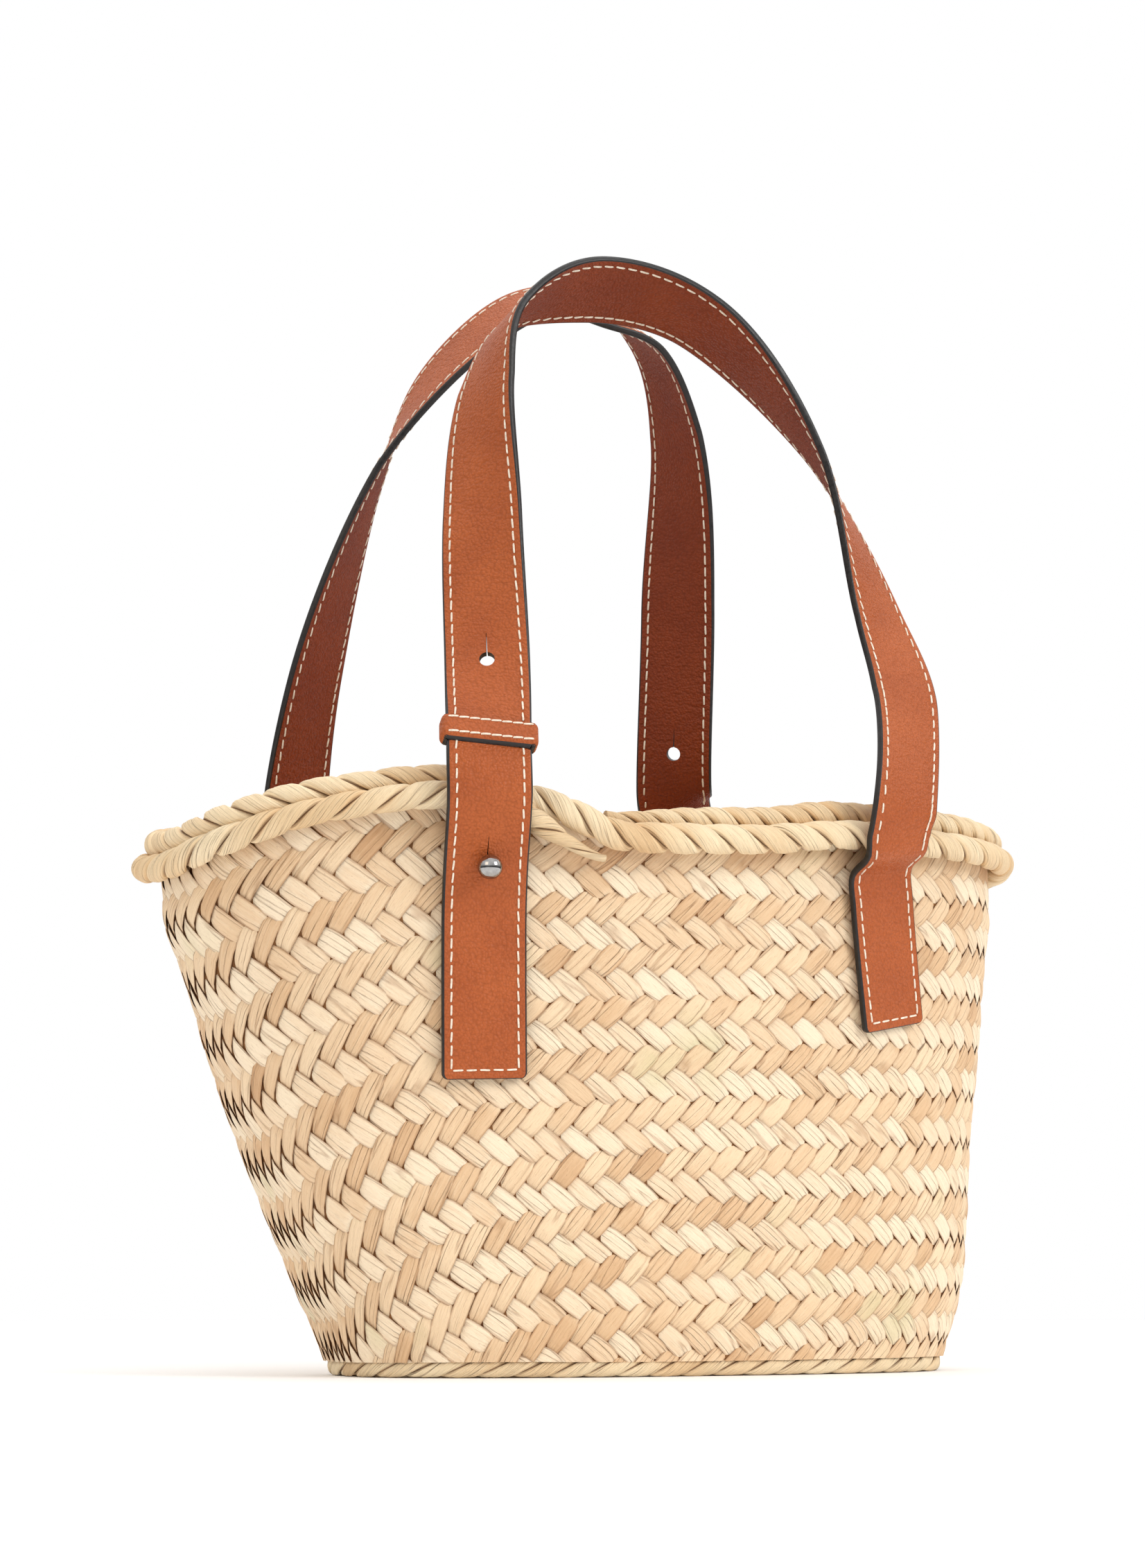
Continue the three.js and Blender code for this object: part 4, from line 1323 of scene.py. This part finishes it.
    def strap(self, line: StrapLine, finishes: list) -> bpy.types.Object:
        """The strap itself, with its painted edges and square tails.

        Args:
            line: Its line.
            finishes: Leather, paint, inner leather.

        Returns:
            The piece.
        """
        outline, paint = self.outline()
        sides = len(outline)
        corner = self.corner
        length = line.length
        ease = corner * (1 - np.cos(np.linspace(0, math.pi / 2, 7)))
        middle = np.linspace(corner, length - corner, self.stations - 14)
        run = np.concatenate([ease, middle[1:-1], length - ease[::-1]])
        near = np.minimum(run, length - run)
        narrow = corner - np.sqrt(np.maximum(corner**2 - np.maximum(corner - near, 0) ** 2, 0))
        piece = tube_blank(f"strap_{self.end}", sides, len(run))
        _, station, side = blank_places(piece, sides)
        point, _, width, face = line.frames(run / length)
        squeeze = (self.width / 2 - narrow) / (self.width / 2)
        thin = np.where(near < 0.9, 0.72 + 0.28 * np.sqrt(np.clip(near / 0.9, 0, 1)), 1.0)
        across = outline[side, 0] * squeeze[station]
        out = outline[side, 1] * thin[station]
        place = point[station] + width[station] * across[:, None] + face[station] * out[:, None]
        place_points(piece, place * MM)
        surface_map(piece, run[station] * 0.1, across * 0.1)
        for finish in finishes:
            piece.data.materials.append(finish)
        index = []
        for polygon in piece.data.polygons:
            if len(polygon.vertices) > 4:
                index.append(1)
                continue
            rims = sorted({int(side[v]) for v in polygon.vertices})
            first = rims[-1] if rims == [0, sides - 1] else rims[0]
            rows = [int(station[v]) for v in polygon.vertices]
            edge = paint[first] or min(rows) < 2 or max(rows) > len(run) - 3
            index.append(1 if edge else 2 if first >= sides // 2 else 0)
        piece.data.polygons.foreach_set("material_index", index)
        outward(piece)
        return piece

    def cutter(self, line: StrapLine, share: float, diameter: float, paint: bpy.types.Material) -> list:
        """A round hole with a slit that narrows above it, as cutters through the strap."""
        basis = self.basis(line, share)
        pieces = []
        deselect()
        bpy.ops.mesh.primitive_cylinder_add(vertices=32, radius=diameter / 2 * MM, depth=self.cut_depth * MM)
        pieces.append(bpy.context.object)
        deselect()
        middle = diameter / 2 + self.slit_length / 2 - self.slit_overlap
        bpy.ops.mesh.primitive_cube_add(size=1, location=(0, middle * MM, 0))
        bpy.context.object.scale = (self.slit_width * MM, self.slit_length * MM, self.cut_depth * MM)
        pieces.append(bpy.context.object)
        # The cut faces take the black edge paint, which in the narrow slit also stands for its shade.
        for piece in pieces:
            settle(piece)
            piece.data.materials.append(paint)
        points = points_of(pieces[1])
        points[:, 0] *= np.where(points[:, 1] > diameter * MM, self.slit_end, 1.0)
        place_points(pieces[1], points)
        for piece in pieces:
            piece.data.transform(basis)
        return pieces

    def basis(self, line: StrapLine, share: float) -> Matrix:
        """Where the strap is at a share: X across, Y along, Z out of its face."""
        point, along, width, face = (value[0] for value in line.frames(np.array([share])))
        columns = np.eye(4)
        columns[:3, 0], columns[:3, 1], columns[:3, 2], columns[:3, 3] = width, along, face, point * MM
        return Matrix(columns.tolist())

    def cut(self, strap: bpy.types.Object, cutters: list[bpy.types.Object]) -> None:
        """Cuts the strap with each cutter and removes the cutters."""
        for cutter in cutters:
            modify(strap, "BOOLEAN", operation="DIFFERENCE", object=cutter, solver="EXACT")
            bpy.data.objects.remove(cutter)

    def strap_stitches(self, line: StrapLine) -> list[Matrix]:
        """Places of the stitches along both edges and across the tails, on both faces."""
        length, w = line.length, self.width / 2 - self.stitch_inset
        ends = self.stitch_inset
        count = int((length - 2 * ends) / self.stitch_pitch)
        rng = np.random.default_rng(3)
        places = []
        for flip in FACES:
            lift = Matrix.Translation((0, 0, (self.thickness / 2 - 0.05) * MM))
            for side in (-1, 1):
                for k in range(count):
                    share = (ends + (k + 0.5) * (length - 2 * ends) / count) / length
                    shift = Matrix.Translation((side * w * MM, 0, 0))
                    slant = Matrix.Rotation(math.radians(4 + rng.uniform(-2, 2)) * side, 4, "Z")
                    places.append(self.basis(line, share) @ flip @ shift @ lift @ slant)
            across = int(2 * w / self.tail_pitch)
            for share in (ends / length, 1 - ends / length):
                for k in range(across):
                    shift = Matrix.Translation(((-w + (k + 0.5) * 2 * w / across) * MM, 0, 0))
                    turn = Matrix.Rotation(math.pi / 2 + math.radians(rng.uniform(-3, 3)), 4, "Z")
                    places.append(self.basis(line, share) @ flip @ shift @ lift @ turn)
        return places

    def share_at_height(self, line: StrapLine, z: float) -> float:
        """Share of the strap's length where it first reaches a height, from the buttoned tail."""
        shares = np.arange(0, 0.5, 0.0005)
        point, _, _, _ = line.frames(shares)
        return float(shares[int(np.argmax(point[:, 2] >= z))])

    def build(self) -> list[bpy.types.Object]:
        """The strap, keeper, stud and stitching of this handle."""
        leather, paint, thread = self.finishes.leather, self.finishes.paint, self.finishes.thread
        line = self.line()
        length = line.length
        stud_z = self.wall.height - self.buttoned_tail_drop + self.stud_above_tail
        stud_share = self.share_at_height(line, stud_z)
        hole_share = stud_share + self.stud_to_hole / length
        strap = self.strap(line, [leather, paint, self.finishes.inner])
        self.cut(strap, self.cutter(line, hole_share, self.hole, paint))
        self.cut(strap, self.cutter(line, stud_share, self.stud.neck + 2 * GAP, paint))
        smooth_shade(strap, 50)
        above = self.front_keeper_above_stud if self.side is Side.FRONT else self.back_keeper_above_stud
        place = self.basis(line, stud_share + above / length)
        keeper, keeper_places = self.keeper.build(
            f"keeper_{self.end}", self.width, self.thickness, place, [leather, paint]
        )
        smooth_shade(keeper, 50)
        place = self.basis(line, stud_share)
        stud = self.stud.build(f"stud_{self.end}", self.thickness, place, self.finishes.steel)
        rows = self.stitching.rows
        stitches = rows(f"strap_stitches_{self.end}", self.strap_stitches(line), thread)
        loop_stitches = rows(f"keeper_stitches_{self.end}", keeper_places, thread)
        for piece, node, slot in (
            (strap, f"handle_strap_{self.end}", "tan_leather"),
            (keeper, f"keeper_loop_{self.end}", "tan_leather"),
            (stud, f"ball_stud_{self.end}", "polished_steel"),
            (stitches, None, "tan_leather"),
            (loop_stitches, None, "tan_leather"),
        ):
            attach(piece, "root")
            if node is not None:
                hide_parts(node)
        return [strap, keeper, stud, stitches, loop_stitches]


# Studio


@dataclass
class Studio:
    """Camera, floor and lights."""

    eye: tuple = (-0.7963, -1.5022, 0.045)
    target: tuple = (-0.0245, 0.0125, 0.240)
    lens: float = 95.4

    def camera(self) -> None:
        """The camera at the photograph's angle."""
        data = bpy.data.cameras.new("camera")
        data.lens, data.sensor_width = self.lens, 36
        data.clip_end = 50
        camera = bpy.data.objects.new("camera", data)
        bpy.context.scene.collection.objects.link(camera)
        camera.location = self.eye
        camera.rotation_euler = (Vector(self.target) - Vector(self.eye)).to_track_quat("-Z", "Y").to_euler()
        bpy.context.scene.camera = camera

    def floor(self) -> None:
        """A plain pale floor."""
        deselect()
        bpy.ops.mesh.primitive_circle_add(vertices=96, radius=1.5, fill_type="NGON")
        floor = bpy.context.object
        floor.name = "studio_floor"
        floor.data.materials.append(FLOOR.make())

    def light(self, name: str, place: tuple, size: float, power: float, colour: tuple = (1, 1, 1)) -> None:
        """One soft light aimed at the bag."""
        data = bpy.data.lights.new(name, "AREA")
        data.size, data.energy, data.color = size, power, colour
        light = bpy.data.objects.new(name, data)
        bpy.context.scene.collection.objects.link(light)
        light.location = place
        light.rotation_euler = (Vector((0, 0, 0.15)) - Vector(place)).to_track_quat("-Z", "Y").to_euler()

    def build(self) -> None:
        """The whole studio."""
        self.camera()
        self.floor()
        self.room()
        bpy.context.scene.view_settings.view_transform = "Standard"
        self.light("key", (1.3, -2.2, 1.5), 1.2, 29)
        self.light("left", (-2.0, -1.2, 1.3), 1.2, 6, (1.0, 0.8, 0.56))
        self.light("top", (0.0, 0.3, 2.2), 1.6, 10)

    def room(self) -> None:
        """A white background, with a bright ceiling and a dim horizon for the reflections."""
        world = bpy.data.worlds.new("studio")
        world.use_nodes = True
        tree = world.node_tree
        nodes, link = tree.nodes, tree.links.new
        background = nodes["Background"]
        way = nodes.new("ShaderNodeSeparateXYZ")
        link(nodes.new("ShaderNodeTexCoord").outputs["Generated"], way.inputs[0])
        ramp = nodes.new("ShaderNodeValToRGB")
        link(way.outputs["Z"], ramp.inputs[0])
        for element, (place, grey) in zip(ramp.color_ramp.elements, ((0.02, 0.1), (0.3, 1.0))):
            element.position, element.color = place, (grey, grey, grey, 1)
        white = nodes.new("ShaderNodeMix")
        white.data_type = "RGBA"
        link(nodes.new("ShaderNodeLightPath").outputs["Is Camera Ray"], white.inputs[0])
        link(ramp.outputs[0], white.inputs[6])
        white.inputs[7].default_value = (1, 1, 1, 1)
        link(white.outputs[2], background.inputs[0])
        bpy.context.scene.world = world


def main() -> None:
    """Builds the studio and every piece, and reports them."""
    logging.basicConfig(level=logging.INFO, format="%(name)s: %(message)s")
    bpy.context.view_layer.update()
    Studio().build()
    wall = Wall()
    rope = Rope(wall)
    pieces = Plait(wall).build() + rope.build()
    finishes = Finishes.make()
    for side, arch in ((Side.FRONT, FRONT_ARCH), (Side.BACK, BACK_ARCH)):
        pieces += Handle(wall, rope, side, arch, finishes).build()
    for piece in pieces:
        triangles = sum(len(p.vertices) - 2 for p in piece.data.polygons)
        LOG.info("%s: %d triangles", piece.name, triangles)


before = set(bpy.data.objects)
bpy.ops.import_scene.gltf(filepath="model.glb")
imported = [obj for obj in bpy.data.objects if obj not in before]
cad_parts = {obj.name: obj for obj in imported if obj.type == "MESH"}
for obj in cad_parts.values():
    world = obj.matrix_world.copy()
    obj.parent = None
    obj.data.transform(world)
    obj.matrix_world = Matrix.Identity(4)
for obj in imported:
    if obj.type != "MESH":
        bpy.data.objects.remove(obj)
if __name__ == "__main__":
    main()
